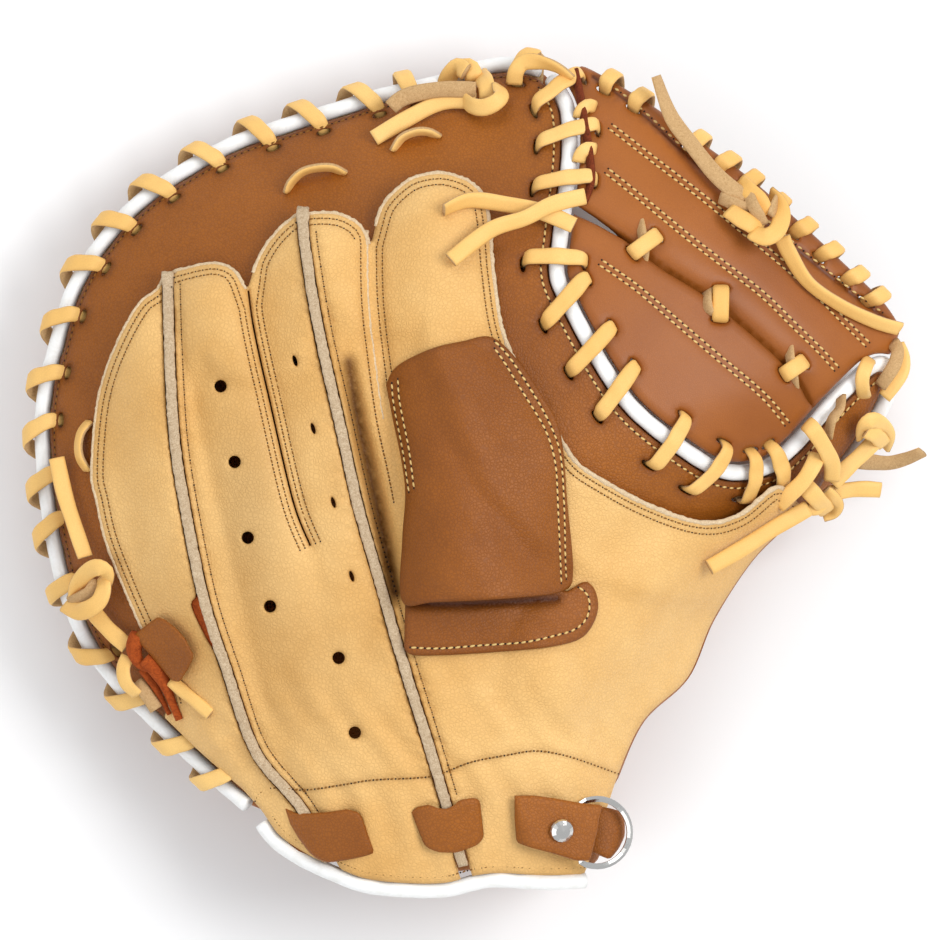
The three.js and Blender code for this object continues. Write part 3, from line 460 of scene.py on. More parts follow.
def hoodRise(at):
    top, mouth, left = place([(492, 345), (566, 600), (398, 600)])
    down = np.clip((top[1] - at[:, 1]) / (top[1] - mouth[1]), 0, 1.05)
    right = top[0] + (mouth[0] - top[0]) * np.clip(down * hood["narrow"], 0, 1)
    across = np.clip((at[:, 0] - left[0]) / (right - left[0]), 0, 1)
    return hood["rise"] * down ** hood["power"] * np.sin(np.pi * across) ** hood["crown"]


def hoodTop(at):
    return panelBase(at) + gap + hoodRise(at) + leather


def patchTop(at):
    return panelBase(at) + gap + leather


def shellTop(at):
    return offset(at, gap + leather)


def webTop(at):
    return offset(at, web["lift"])


webSeam = line(webLowerEdge[:14])
lowerBar = line(webLowerEdge)


def barRound(at):
    # The upper bar's lower edge is rounded and goes under the lower bar
    at = np.atleast_2d(at)
    away = np.where(isInside(lowerBar, at), -1, 1) * distanceTo(webSeam, at)
    near = np.clip(1 - (away - web["edge"]) / web["reach"], 0, 1)
    drop = web["drop"] * (1 - np.sqrt(np.maximum(0, 1 - near ** 2)))
    return -drop - web["under"] * (away < web["edge"])


# Materials: shared effects as node groups that give values, and one material per finish
def addGroup(name, inputs, outputs):
    group = bpy.data.node_groups.new(name, "ShaderNodeTree")
    for label, value in inputs.items():
        socket = group.interface.new_socket(label, in_out="INPUT", socket_type="NodeSocketFloat")
        socket.default_value = value
    for label in outputs:
        group.interface.new_socket(label, in_out="OUTPUT", socket_type="NodeSocketFloat")
    return group, group.nodes.new("NodeGroupInput").outputs, group.nodes.new("NodeGroupOutput").inputs


def addNode(tree, kind, sockets=None, **settings):
    # A node's outputs; each of its sockets gets a value or the output of another node
    node = tree.nodes.new("ShaderNode" + kind)
    for key, value in settings.items():
        setattr(node, key, value)
    for label, value in (sockets or {}).items():
        if isinstance(value, bpy.types.NodeSocket):
            tree.links.new(value, node.inputs[label])
        else:
            node.inputs[label].default_value = value
    return node.outputs


def addGrain():
    # Pebbled hide: cells of grain with pores and soft wrinkles
    tree, given, out = addGroup("leather_grain", {"Cells": 620, "Wrinkles": 60, "Wrinkle depth": 0.5},
                                ["Height", "Crevice", "Patch"])
    where = addNode(tree, "TexCoord")["Object"]
    warp = addNode(tree, "TexNoise", {"Vector": where, "Scale": 260, "Detail": 2})
    bent = addNode(tree, "VectorMath", {0: warp["Color"], 1: (0.0016, 0.0016, 0.0016), 2: where},
                   operation="MULTIPLY_ADD")
    cells = addNode(tree, "TexVoronoi", {"Vector": bent[0], "Scale": given["Cells"]},
                    feature="DISTANCE_TO_EDGE")
    rise = addNode(tree, "MapRange", {"Value": cells["Distance"], "From Max": 0.22},
                   interpolation_type="SMOOTHSTEP")["Result"]
    wrinkle = addNode(tree, "TexNoise", {"Vector": where, "Scale": given["Wrinkles"], "Detail": 5,
                                         "Roughness": 0.62, "Distortion": 0.6})
    deep = addNode(tree, "Math", {0: wrinkle["Fac"], 1: given["Wrinkle depth"]}, operation="MULTIPLY")
    share = addNode(tree, "Math", {0: rise, 1: 0.35}, operation="MULTIPLY")
    total = addNode(tree, "Math", {0: share[0], 1: deep[0]}, operation="ADD")
    patch = addNode(tree, "TexNoise", {"Vector": where, "Scale": 14, "Detail": 4, "Roughness": 0.6})
    for label, value in (("Height", total[0]), ("Crevice", rise), ("Patch", patch["Fac"])):
        tree.links.new(value, out[label])
    return tree


def addFibre():
    # Cut or fleshy leather: loose short fibres and specks
    tree, given, out = addGroup("leather_fibre", {"Scale": 900}, ["Height", "Specks"])
    noise = addNode(tree, "TexNoise", {
        "Vector": addNode(tree, "TexCoord")["Object"], "Scale": given["Scale"], "Detail": 6,
        "Roughness": 0.75, "Distortion": 1.2})["Fac"]
    specks = addNode(tree, "MapRange", {"Value": noise, "From Min": 0.32, "From Max": 0.66})
    tree.links.new(noise, out["Height"])
    tree.links.new(specks["Result"], out["Specks"])
    return tree


grain, fibre = addGrain(), addFibre()


def linear(colour):
    share = np.array(colour, float) / 255
    value = np.where(share <= 0.04045, share / 12.92, ((share + 0.055) / 1.055) ** 2.4)
    return (*value, 1)


def mixColours(tree, share, dark, light):
    return addNode(tree, "Mix", {0: share, 6: dark, 7: light}, data_type="RGBA")[2]


def linkSurface(tree, shader, colour, height, strength, distance):
    bump = addNode(tree, "Bump", {"Strength": strength, "Distance": distance, "Height": height})
    tree.links.new(colour, shader["Base Color"])
    tree.links.new(bump["Normal"], shader["Normal"])


def grainMaterial(name, look):
    # Grained leather with paler and darker patches and dark crevices; the shade attribute mixes in the deep
    # colour as painted shade
    made, tree, shader = newMaterial(name, {
        "Roughness": look["roughness"], "Specular IOR Level": look["gloss"]})
    effect = addNode(tree, "Group", {"Cells": look["cells"], "Wrinkles": look["wrinkles"],
                                     "Wrinkle depth": look["wrinkleDepth"]}, node_tree=grain)
    deep = linear(look["deep"])
    span = addNode(tree, "MapRange", {"Value": effect["Patch"], "From Min": 0.34, "From Max": 0.68})
    colour = mixColours(tree, span["Result"], linear(look["dark"]), linear(look["light"]))
    crevice = addNode(tree, "MapRange", {"Value": effect["Crevice"], "To Min": look["crevice"]})
    colour = mixColours(tree, crevice["Result"], deep, colour)
    # Painted shade: the shade attribute darkens the colour towards the deep colour
    shade = addNode(tree, "Attribute", attribute_name="shade")
    colour = mixColours(tree, shade["Fac"], colour, deep)
    linkSurface(tree, shader, colour, effect["Height"], look["bump"], 0.0006)
    return made


def fibreMaterial(name, dark, light, scale=900, bump=0.5, roughness=0.9, gloss=0.2, distance=0.0005):
    made, tree, shader = newMaterial(name, {"Roughness": roughness, "Specular IOR Level": gloss})
    effect = addNode(tree, "Group", {"Scale": scale}, node_tree=fibre)
    colour = mixColours(tree, effect["Specks"], linear(dark), linear(light))
    linkSurface(tree, shader, colour, effect["Height"], bump, distance)
    return made


brown = grainMaterial("brown_leather", {
    "dark": (138, 76, 14), "light": (163, 94, 24), "deep": (80, 36, 8), "crevice": 0.74,
    "cells": 900, "wrinkles": 130, "wrinkleDepth": 1.8, "bump": 0.42, "roughness": 0.5,
    "gloss": 0.3,
})
webBrown = grainMaterial("web_leather", {
    "dark": (148, 82, 26), "light": (166, 96, 34), "deep": (96, 46, 14), "crevice": 0.86,
    "cells": 1500, "wrinkles": 90, "wrinkleDepth": 0.6, "bump": 0.12, "roughness": 0.45,
    "gloss": 0.35,
})
# The blond deep colour serves both the grain crevices and the painted shade of the deep fold and slots
blond = grainMaterial("blond_leather", {
    "dark": (218, 167, 95), "light": (238, 194, 126), "deep": (112, 70, 22), "crevice": 0.9,
    "cells": 760, "wrinkles": 90, "wrinkleDepth": 2.2, "bump": 0.5, "roughness": 0.52,
    "gloss": 0.3,
})
laceSkin = grainMaterial("lace_leather", {
    "dark": (232, 180, 98), "light": (246, 202, 124), "deep": (160, 108, 48), "crevice": 0.9,
    "cells": 1600, "wrinkles": 200, "wrinkleDepth": 0.6, "bump": 0.15, "roughness": 0.5,
    "gloss": 0.3,
})
laceFlesh = fibreMaterial("lace_flesh", (176, 136, 88), (212, 176, 128), 1500)
rawEdge = fibreMaterial("raw_edge", (162, 134, 102), (216, 194, 162), 1100, 0.6)
rawPale = fibreMaterial("raw_pale", (192, 162, 124), (228, 206, 172), 1000, 0.5)
cutBrown = fibreMaterial("cut_brown", (92, 46, 20), (150, 92, 52), 1300)
cutBlond = fibreMaterial("cut_blond", (178, 140, 96), (228, 204, 168), 1300)
cutRust = fibreMaterial("cut_rust", (84, 34, 16), (142, 66, 34), 900, 0.8)
suede = fibreMaterial("suede", (128, 52, 18), (186, 88, 34), 700, 0.7, 0.95)
thread = fibreMaterial("thread_pale", (196, 160, 92), (236, 206, 140), 4000, 0.3, 0.6)
threadDark = fibreMaterial("thread_gold", (112, 72, 24), (150, 102, 42), 4000, 0.3, 0.6)
pipingSkin = fibreMaterial("white_piping", (236, 235, 230), (250, 250, 249), 120, 0.15, 0.34, 0.5, 0.0008)
# Painted shade: dark beads stand for the shade inside the needle holes
holeShade, _, _ = newMaterial("needle_hole_shade", {"Roughness": 0.9, "Base Color": linear((40, 20, 8))})
threads = [thread, threadDark, holeShade]
brownLeather = [brown, cutBrown, cutBrown]


def addNickel():
    made, tree, shader = newMaterial("nickel", {"Roughness": 0.16, "Metallic": 1.0,
                                                "Base Color": linear((214, 212, 208))})
    effect = addNode(tree, "Group", {"Scale": 300}, node_tree=fibre)
    span = addNode(tree, "MapRange", {"Value": effect["Specks"], "To Min": 0.12, "To Max": 0.24})
    tree.links.new(span["Result"], shader["Roughness"])
    return made


nickel = addNickel()
print("materials ready")


# Making pieces
def addPiece(name, points, faces, materials, nodes=(), kinds=None, shade=None):
    # One mesh from points in millimetres; kinds gives each face its material
    mesh = bpy.data.meshes.new(name)
    mesh.from_pydata(metres(points).tolist(), [], [list(map(int, face)) for face in faces])
    for material in materials:
        mesh.materials.append(material)
    if kinds is not None:
        mesh.polygons.foreach_set("material_index", np.array(kinds, np.int32))
    if shade is not None:
        layer = mesh.attributes.new("shade", "FLOAT", "POINT")
        layer.data.foreach_set("value", np.array(shade, np.float32))
    mesh.polygons.foreach_set("use_smooth", np.ones(len(mesh.polygons), bool))
    mesh.update()
    made = bpy.data.objects.new(name, mesh)
    bpy.context.scene.collection.objects.link(made)
    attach(made, "root")
    if nodes:
        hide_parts(*nodes)
    return made


def triangulate(outline, holes, extra):
    points = [outline, *holes, extra]
    edges, first = [], 0
    for ring in points[:-1]:
        count = len(ring)
        edges += [(first + i, first + (i + 1) % count) for i in range(count)]
        first += count
    flat = [Vector(p) for p in np.vstack(points)]
    made = geometry.delaunay_2d_cdt(flat, edges, [], 1, 1e-5)
    at = np.array([tuple(p) for p in made[0]])
    faces = np.array(made[2])
    centres = at[faces].mean(1)
    keep = np.ones(len(faces), bool)
    for hole in holes:
        keep &= ~isInside(hole, centres)
    faces = faces[keep]
    a, b, c = at[faces[:, 0]], at[faces[:, 1]], at[faces[:, 2]]
    turned = (b[:, 0] - a[:, 0]) * (c[:, 1] - a[:, 1]) - (b[:, 1] - a[:, 1]) * (c[:, 0] - a[:, 0])
    faces[turned < 0] = faces[turned < 0][:, ::-1]
    return at, faces[np.abs(turned) > 1e-9]


def circle(sides):
    turns = np.linspace(0, 2 * np.pi, sides, endpoint=False)
    return np.column_stack([np.cos(turns), np.sin(turns)])


def ovalAt(where, way, long, short, sides=12):
    way, turns = unit(np.array(way)), circle(sides)
    return where + np.outer(turns[:, 0] * long, way) + np.outer(turns[:, 1] * short, leftOf(way))


def edgeDistance(outline, holes, at):
    rings = [outline, *holes]
    return np.min([distanceTo(ring, at, closed=True) for ring in rings], axis=0)


def sheetForm(outline, top, thick, holes=(), cell=2.4, radius=1.1, grooves=(), carve=None,
              under=None, shadeNear=0.0, tone=None):
    # A piece of leather with rounded edges: outline and holes flat, height from top
    outline = resample(np.array(outline), cell * 0.7, closed=True)
    rings = [outline, *holes]
    extra = []
    for share in (0.3, 1.0, 2.2):
        for number, ring in enumerate(rings):
            area = np.cross(ring, np.roll(ring, -1, 0)).sum()
            inward = leftOf(tangents(ring, closed=True)) * np.sign(area) * (1 if number == 0 else -1)
            moved = ring + inward * radius * share
            extra.append((moved, radius * share * 0.93))
    for groove in grooves:
        for side in (-1, 0, 1):
            extra.append((resample(beside(groove["line"], side * groove["half"]), 1.6), radius / 2))
    low, high = outline.min(0), outline.max(0)
    columns, rows = np.meshgrid(np.arange(low[0], high[0], cell), np.arange(low[1], high[1], cell * 0.87))
    columns[1::2] += cell / 2
    extra.append((np.column_stack([columns.ravel(), rows.ravel()]), radius * 2.2 + cell * 0.5))
    kept = []
    for points, least in extra:
        points = points[isInside(outline, points)]
        away = edgeDistance(outline, holes, points)
        for hole in holes:
            away[isInside(hole, points)] = 0
        kept.append(points[away >= least])
    at, faces = triangulate(outline, holes, np.vstack(kept))
    edge = edgeDistance(outline, holes, at)
    height = top(at)
    if carve is not None:
        height = height + carve(at)
    # Painted shade: the colour darkens near the edges and holes, at the given spots and along the grooves
    shade = shadeNear * np.exp(-(edge / 1.6) ** 2)
    if tone is not None:
        shade = np.maximum(shade, tone(at))
    for groove in grooves:
        near = np.exp(-(distanceTo(groove["line"], at) / groove["half"]) ** 2)
        height = height - groove["depth"] * near
        shade = np.maximum(shade, groove["shade"] * near)
    lower = under(at) if under is not None else height - thick * slopeFactor(at)
    inside = np.clip(1 - edge / radius, 0, 1)
    drop = radius * (1 - np.sqrt(1 - inside ** 2))
    points = np.vstack([np.column_stack([at, height - drop]), np.column_stack([at, lower + drop])])
    count = len(at)
    sides = np.sort(np.vstack([faces[:, [0, 1]], faces[:, [1, 2]], faces[:, [2, 0]]]), axis=1)
    once, times = np.unique(sides, axis=0, return_counts=True)
    border = {tuple(pair) for pair in once[times == 1]}
    walls = []
    for a, b, c in faces:
        for first, second in ((a, b), (b, c), (c, a)):
            if (min(first, second), max(first, second)) in border:
                walls.append((first, first + count, second + count, second))
    every = [*faces, *(faces[:, ::-1] + count), *walls]
    kinds = [0] * len(faces) + [1] * len(faces) + [2] * len(walls)
    return points, every, kinds, np.r_[shade, shade]


def sheet(name, outline, top, thick, materials, nodes, slot, **form):
    points, faces, kinds, shade = sheetForm(outline, top, thick, **form)
    return addPiece(name, points, faces, materials, nodes, kinds, shade)


# Each groove sinks the surface and carries painted shade of the given strength
def groovesAlong(rows, depth, half, shade):
    return [{"line": row, "depth": depth, "half": half, "shade": shade} for row in rows]


def draws(count, *ranges):
    return np.array([[dice.uniform(*pair) for pair in ranges] for _ in range(count)])


def sweep(route, widths, section, scale=None):
    # A section along a route; widths say which way the section's first axis runs
    route = np.array(route, float)
    way = tangents(route)
    side = unit(widths - (widths * way).sum(1, keepdims=True) * way)
    up = np.cross(way, side)
    scale = np.ones((len(route), 2)) if scale is None else np.array(scale)
    section = np.array(section)
    count = len(section)
    points = (route[:, None] + side[:, None] * (section[:, 0] * scale[:, :1])[..., None]
              + up[:, None] * (section[:, 1] * scale[:, 1:])[..., None]).reshape(-1, 3)
    faces = []
    for step in range(len(route) - 1):
        for corner in range(count):
            a, b = step * count + corner, step * count + (corner + 1) % count
            faces.append((a, b, b + count, a + count))
    last = (len(route) - 1) * count
    faces.append(tuple(range(count))[::-1])
    faces.append(tuple(range(last, last + count)))
    return points, faces


def flat(width, thick):
    # A flat section with rounded edges, its smooth side up
    x, y, r = width / 2, thick / 2, thick * 0.38
    return [(-x, -y + r), (-x + r, -y), (0, -y), (x - r, -y), (x, -y + r), (x, y - r),
            (x - r, y), (x * 0.4, y + 0.12), (-x * 0.4, y + 0.12), (-x + r, y), (-x, y - r)]


# Which side of the flat section is skin: the rest shows flesh
flatSkin = {6, 7, 8, 5, 9}


def makeBead():
    # A short capsule along x, one unit in each direction
    rings, sides = [(-0.8, 0.55), (-0.3, 0.98), (0.3, 0.98), (0.8, 0.55)], 6
    points = [(-1, 0, 0), (1, 0, 0)]
    points += [(x, size * a, size * b) for x, size in rings for a, b in circle(sides)]
    faces = []
    for k in range(sides):
        n = (k + 1) % sides
        faces.append((0, 2 + n, 2 + k))
        faces.append((1, 2 + 3 * sides + k, 2 + 3 * sides + n))
        for ring in range(3):
            a = 2 + ring * sides
            faces.append((a + k, a + n, a + n + sides, a + k + sides))
    return np.array(points, float), faces


beadForm = makeBead()


class Pile:
    # Points and faces of several parts that become one piece
    def __init__(self):
        self.points, self.faces, self.kinds, self.count = [], [], [], 0

    def add(self, points, faces, kind=0):
        self.points.append(points)
        self.faces += [tuple(i + self.count for i in face) for face in faces]
        self.kinds += kind if isinstance(kind, list) else [kind] * len(faces)
        self.count += len(points)

    def ribbon(self, route, widths, width=None, thick=None, scale=None, flip=False):
        section = np.array(flat(width or lace["width"], thick or lace["thick"]))
        if flip:
            section = section * (1, -1)
        points, faces = sweep(route, widths, section, scale)
        count = len(section)
        kinds = [0 if i % count in flatSkin else 1 for i in range(len(faces) - 2)] + [1, 1]
        self.add(points, faces, kinds)

    def strand(self, rows, tilt=0.0, width=None, flesh=False):
        # A lace through places with heights; tilt turns its width out of the level
        route = curve(over(rows), 1.2)
        share = np.linspace(0, 1, len(route))
        turns = np.interp(share, np.linspace(0, 1, len(tilt)), tilt) if np.ndim(tilt) else tilt
        wide = 1 + 0.03 * np.sin(share * 11 + len(self.points))
        scale = np.column_stack([wide, np.ones(len(route))])
        self.ribbon(route, sideways(route, turns), width, scale=scale, flip=flesh)
        return route

    def stitches(self, rows, height, look):
        # A row of stitches with a needle hole between each two; each hole is a dark bead of painted shade
        at = resample(rows, look["pitch"])
        middle = (at[1:] + at[:-1]) / 2
        for spots, kind, size, slant in (
                (middle, look["kind"], look["size"], look["slant"]), (at, 2, look["hole"], 0)):
            level, turn = height(spots), tangents(spots)
            slope = np.gradient(level) / np.maximum(
                np.linalg.norm(np.gradient(spots, axis=0), axis=1), 1e-6)
            along = np.column_stack([turn, slope]) / np.sqrt(1 + slope ** 2)[:, None]
            side = np.column_stack([leftOf(turn), np.zeros(len(turn))])
            along = along + side * slant
            up = np.cross(along, side)
            jitter = draws(len(spots), (0.9, 1.1))[:, :, None]
            bead, faces = beadForm
            points = (np.column_stack([spots, level + look["lift"]])[:, None]
                      + along[:, None] * bead[None, :, :1] * size[0] / 2 * jitter
                      + side[:, None] * bead[None, :, 1:2] * size[1] / 2
                      + up[:, None] * bead[None, :, 2:] * size[2] / 2)
            count = len(bead)
            every = [tuple(i + n * count for i in face) for n in range(len(spots)) for face in faces]
            self.add(points.reshape(-1, 3), every, kind)

    def slab(self, outline, top, thick, cell, kind=None):
        points, faces, kinds, _ = sheetForm(outline, top, thick, cell=cell)
        self.add(points, faces, [min(k, 1) for k in kinds] if kind is None else kind)

    def make(self, name, materials, nodes=()):
        return addPiece(name, np.vstack(self.points), self.faces, materials, nodes, self.kinds)


def over(rows):
    rows = np.array(rows, float)
    at = place(rows)
    return np.column_stack([at, offset(at, rows[:, 2])])


def addStitches(name, groups):
    # Each group has its rows, their height and their look
    pile = Pile()
    for rows, height, look in groups:
        for row in rows:
            pile.stitches(row, height, look)
    pile.make(name, threads)


def addStrands(name, strands, nodes=()):
    # Strands by place with height, then tilt, width and whether the flesh side is up
    pile = Pile()
    for strand in strands:
        pile.strand(*strand)
    pile.make(name, [laceSkin, laceFlesh], nodes)


def seamFrame(guide, at, shift=0.0):
    # The seam's point, and its ways along, inward and out of the surface
    nearest = np.argmin(np.linalg.norm(guide - at, axis=1))
    spacing = np.linalg.norm(guide[1] - guide[0])
    index = int(np.clip(nearest + round(shift / spacing), 1, len(guide) - 2))
    fraction = shift / spacing - round(shift / spacing)
    way = unit(guide[index + 1] - guide[index - 1])
    point = guide[index] + way * fraction * spacing
    reach = 8
    inwardFlat = -leftOf(way)
    level = backHeight(point)[0]
    rise = (backHeight(point + inwardFlat * reach)[0] - level) / reach
    climb = (backHeight(point + way * reach)[0] - backHeight(point - way * reach)[0]) / (2 * reach)
    along = np.array([*way, climb]) / math.hypot(1, climb)
    inward = np.array([*inwardFlat, rise]) / math.hypot(1, rise)
    out = np.cross(inward, along)
    out *= np.sign(out[2]) / np.linalg.norm(out)
    return np.array([*point, level]), along, inward, out


# One turn of lace: inward from the seam, height, share of the lean, width
rimTurn = [
    (8.5, -2.8, -1.05, 0.7), (7.9, 1.4, -1, 0.84), (6.6, 4.5, -0.85, 0.97), (3.2, 5.6, -0.4, 1),
    (0, 6.2, 0, 1.04), (-3.2, 5.3, 0.5, 1.04), (-4.9, 2.4, 1, 1), (-5.0, -0.8, 1.4, 0.95),
    (-3.4, -3.3, 1.8, 0.9), (3.5, -3.8, 2.0, 0.9),
]
crotchTurn = [
    (11.2, -2.8, -1.05, 0.7), (10.5, 1.6, -1, 0.84), (9.0, 4.5, -0.88, 0.97), (4.5, 5.5, -0.45, 1),
    (0, 6.2, 0, 1.04), (-3.6, 5.4, 0.4, 1.04), (-7.0, 4.9, 0.8, 0.97), (-9.2, 3.0, 1, 0.82),
    (-9.7, -3.8, 1.02, 0.7),
]
webTurn = [
    (5.7, -4.2, -1, 0.8), (5.3, 1.6, -1, 0.88), (4.2, 4.6, -0.85, 1), (2.2, 5.1, -0.4, 1),
    (0.2, 4.8, 0, 1), (-1.7, 3.1, 0.35, 1), (-2.2, 0, 0.6, 1), (-1.6, -3, 0.8, 1), (1.4, -4.2, 1, 1),
]


def wrapRoute(guide, wrap, turn):
    at = place([wrap])[0]
    sway = dice.uniform(-0.4, 0.4)
    points, widths, scale = [], [], []
    for inward, up, share, wide in turn:
        base, along, inwardWay, out = seamFrame(guide, at, share * (wrap[2] + sway))
        points.append(base + inwardWay * inward + out * up)
        widths.append(along)
        scale.append((wide * dice.uniform(0.97, 1.03), 1))
    values = curve(np.hstack([points, widths, scale]))[::4]
    return values[:, :3], values[:, 3:6], values[:, 6:8]


def wrapLace(name, guide, wraps, turn):
    pile = Pile()
    for wrap in wraps:
        route, widths, scale = wrapRoute(guide, wrap, turn)
        pile.ribbon(route, widths, scale=scale, flip=True)
    return pile.make(name + "_wraps", [laceSkin, laceFlesh], [name])


def sideways(route, tilt=0.0):
    way = tangents(route)
    side = unit(np.column_stack([leftOf(way), np.zeros(len(way))]))
    turns = np.broadcast_to(tilt, (len(route),))[:, None]
    return side * np.cos(turns) + np.cross(way, side) * np.sin(turns)


def addLace(name, tilt=0.0, width=None, flesh=False):
    pile = Pile()
    route = pile.strand(laces[name], tilt, width, flesh)
    made = pile.make(name + "_strip", [laceSkin, laceFlesh], [name])
    if name in cordNames:
        path = metres(route)
    return made


laceTilt = {
    "shell_loop_1": 1.25, "shell_loop_2": 1.25, "shell_loop_3": 1.2, "thumb_tail_lower": 0.3,
    "web_tail": (0.1, 0.2, 0.4, 1.1), "web_long_lace": (0.3, 0.75, 0.75, 0.6),
    "side_tail": (0.5, 0.4, 0.25, 0.1), "crossing_tail_a": (0.3, -0.2, -0.3, -0.9),
    "crossing_tail_b": (-0.2, -0.3, -0.3, 0.1), "thumb_tail_upper": (0.2, 0.9), "top_tail_a": -0.2,
}
laceFleshUp = ["top_tail_a", "web_tail", "thumb_tail_upper"]
for name in laces:
    addLace(name, laceTilt.get(name, 0.0), flesh=name in laceFleshUp)
print("laces ready")

# Palm, with the padded edge rolled under and the pocket
palmEdge = np.vstack([rim, crotch, line(thumbSide), line(heelLine)])
palm = sheet("palm_body", palmEdge, palmTop, 0, [brown] * 3, ["palm"], "brown_leather",
             cell=3.0, radius=1.5, under=palmUnder)
print("palm ready")

bodyEdge = np.vstack([beside(rim, border["seam"]), beside(crotch, border["seam"]),
                      beside(line(thumbSide), border["thumb"]), beside(wrist, border["wrist"])[::-1]])


def pulledInside(outline, around):
    # An outline kept inside another one: points outside go to the nearest place on it
    outline = resample(np.array(outline), 1.6, closed=True)
    ring = resample(around, 0.8, closed=True)
    for index in np.nonzero(~isInside(around, outline))[0]:
        outline[index] = ring[np.argmin(np.linalg.norm(ring - outline[index], axis=1))]
    steps = np.linalg.norm(np.diff(outline, axis=0, append=outline[:1]), axis=1)
    return outline[steps > 0.15]


def seamHoles(guide, wraps, inward, share, long=2.7, short=1.0):
    made = []
    for wrap in wraps:
        base, along, inwardWay, _ = seamFrame(guide, place([wrap])[0], share * wrap[2])
        made.append(ovalAt((base + inwardWay * inward)[:2], along[:2], long, short))
    return made


def wrinklesRound(spots, tall, reach, count=7):
    phases = [dice.uniform(0, 6.28) for _ in spots]

    def carve(at):
        total = np.zeros(len(at))
        for (x, y), phase in zip(spots, phases):
            away = at - (x, y)
            radius = np.hypot(away[:, 0], away[:, 1])
            near = radius < reach * 3
            turn = np.arctan2(away[near, 1], away[near, 0])
            fold = tall * (np.cos(count * turn + phase) - 1) * np.exp(-(radius[near] / reach) ** 2)
            total[near] += fold * np.minimum(radius[near] / 2, 1)
        return total
    return carve


rimHoles = seamHoles(rim, rimWraps[2:], 8.6, -1)
crotchHoles = seamHoles(crotch, crotchWraps, 11.3, -1)
puckers = wrinklesRound([hole.mean(0) for hole in rimHoles + crotchHoles], 0.35, 6.5)
# Painted shade darkens the shell near its edges and lace holes and along its stitch rows
sheet("shell_back", pulledInside(shellOutline, bodyEdge), shellTop, leather, brownLeather, ["back_shell"],
      "brown_leather", holes=rimHoles + crotchHoles, cell=1.9, carve=puckers, shadeNear=0.5,
      grooves=[*groovesAlong([beside(rim, -4.4)[27:]], 0.6, 0.9, 0.5),
               *groovesAlong([beside(crotch, -5.4)[:112]], 0.4, 0.9, 0.25)])
paleRow = {"pitch": 2.5, "size": (1.8, 0.8, 0.55), "hole": (0.75, 0.75, 0.4), "lift": 0.05, "kind": 0,
           "slant": 0.12}
darkRow = {"pitch": 2.5, "size": (1.5, 0.62, 0.4), "hole": (0.7, 0.6, 0.3), "lift": 0.02, "kind": 1,
           "slant": 0.12}
addStitches("shell_stitches", [
    ([beside(rim, -4.3)[28:]], lambda at: shellTop(at) + puckers(at) - 0.5, darkRow),
    ([beside(crotch, -5.3)[:112]], lambda at: shellTop(at) + puckers(at) - 0.35, paleRow),
])
print("shell ready")

# Back panels
leftSeam = line([*weltLeft, (352, 902)])
rightSeam = line([*weltRight, (475, 908)])
vents = [ovalAt(place([spot])[0], (1, 0.2), 2.1, 2.1, 14) for spot in
         [(223, 387), (237, 462), (250, 537), (272, 605), (340, 656), (356, 730)]]
vents += [ovalAt(place([spot])[0], (0.3, -1), 1.9, 0.7) for spot in
          [(297, 362), (315, 429), (335, 502), (353, 575)]]
slit, stallSlit = slitLines
slitRing = np.vstack([beside(slit, 0.3), beside(slit, -0.3)[::-1]])
tabSlit = line([(197, 598), (193, 602), (196, 612), (203, 627), (211, 642), (215, 647)], 1.0)
fingerHole = ovalAt(place([(485, 530)])[0], (1, 0), 14, 17, 24)
seamLeft = beside(leftSeam, -2.0)
below = seamLeft[:, 1] < place([(0, 598)])[0][1]
under = seamLeft[:, 1] < place([(0, 647)])[0][1]
seamLeft = np.vstack([seamLeft[~below], tabSlit, seamLeft[under]])
leftEdge = [line(leftPanelEdge), place([(150, 745), (190, 850), (300, 910)]), seamLeft[::-1]]
centreEdge = [beside(leftSeam, 2.0), beside(rightSeam, -2.0)[::-1], line(centrePanelTop)[::-1]]
rightEdge = [beside(rightSeam, 2.0), place([(600, 910), (660, 780), (740, 660), (830, 540)]),
             line(rightPanelTop)[::-1]]

# Rows of stitches on the panels, in pairs beside the raw edges
leftTop, ringTop = line(leftPanelEdge), line(centrePanelTop[:5])
middleTop, stallTop = line(centrePanelTop[5:]), line(rightPanelTop[:5])
indexTop = line(rightPanelTop[5:])
edgeRows = [
    *[[beside(leftTop, side)[2:]] for side in (2.2, 4.2)],
    *[[beside(ringTop, -side)[:-2], beside(slit, -side + 0.2)[3:]] for side in (2.2, 4.0)],
    *[[beside(slit, side - 0.2)[3:][::-1], beside(middleTop, -side)[2:]] for side in (2.2, 4.0)],
    [beside(stallTop, -2.2)[:-2], beside(stallSlit, -3.2)[2:]], [beside(stallTop, -4.2)[:-2]],
    *[[beside(stallSlit, side)[3:-18][::-1], beside(indexTop, -side)[3:]] for side in (2.2, 4.2)],
]
edgeRows = [np.vstack(parts) for parts in edgeRows]
welt = {"row": 4.3, "pucker": 0.42, "half": (1.75, 1.6), "rise": -0.5}
crease = {"wrist": 0.75, "from": -45, "over": 45, "soft": 0.12, "hood": 0.22}
seamRows = [beside(leftSeam, welt["row"])[2:-16], beside(rightSeam, welt["row"])[4:-20]]
wristSeam = line([(256, 800), (261, 791), (268, 787), (285, 786), (305, 788), (339, 783), (374, 777),
                  (427, 774), (448, 768), (471, 759), (507, 752), (534, 748), (561, 752), (588, 761),
                  (618, 773)])
wristRow = beside(wrist, 4.6)


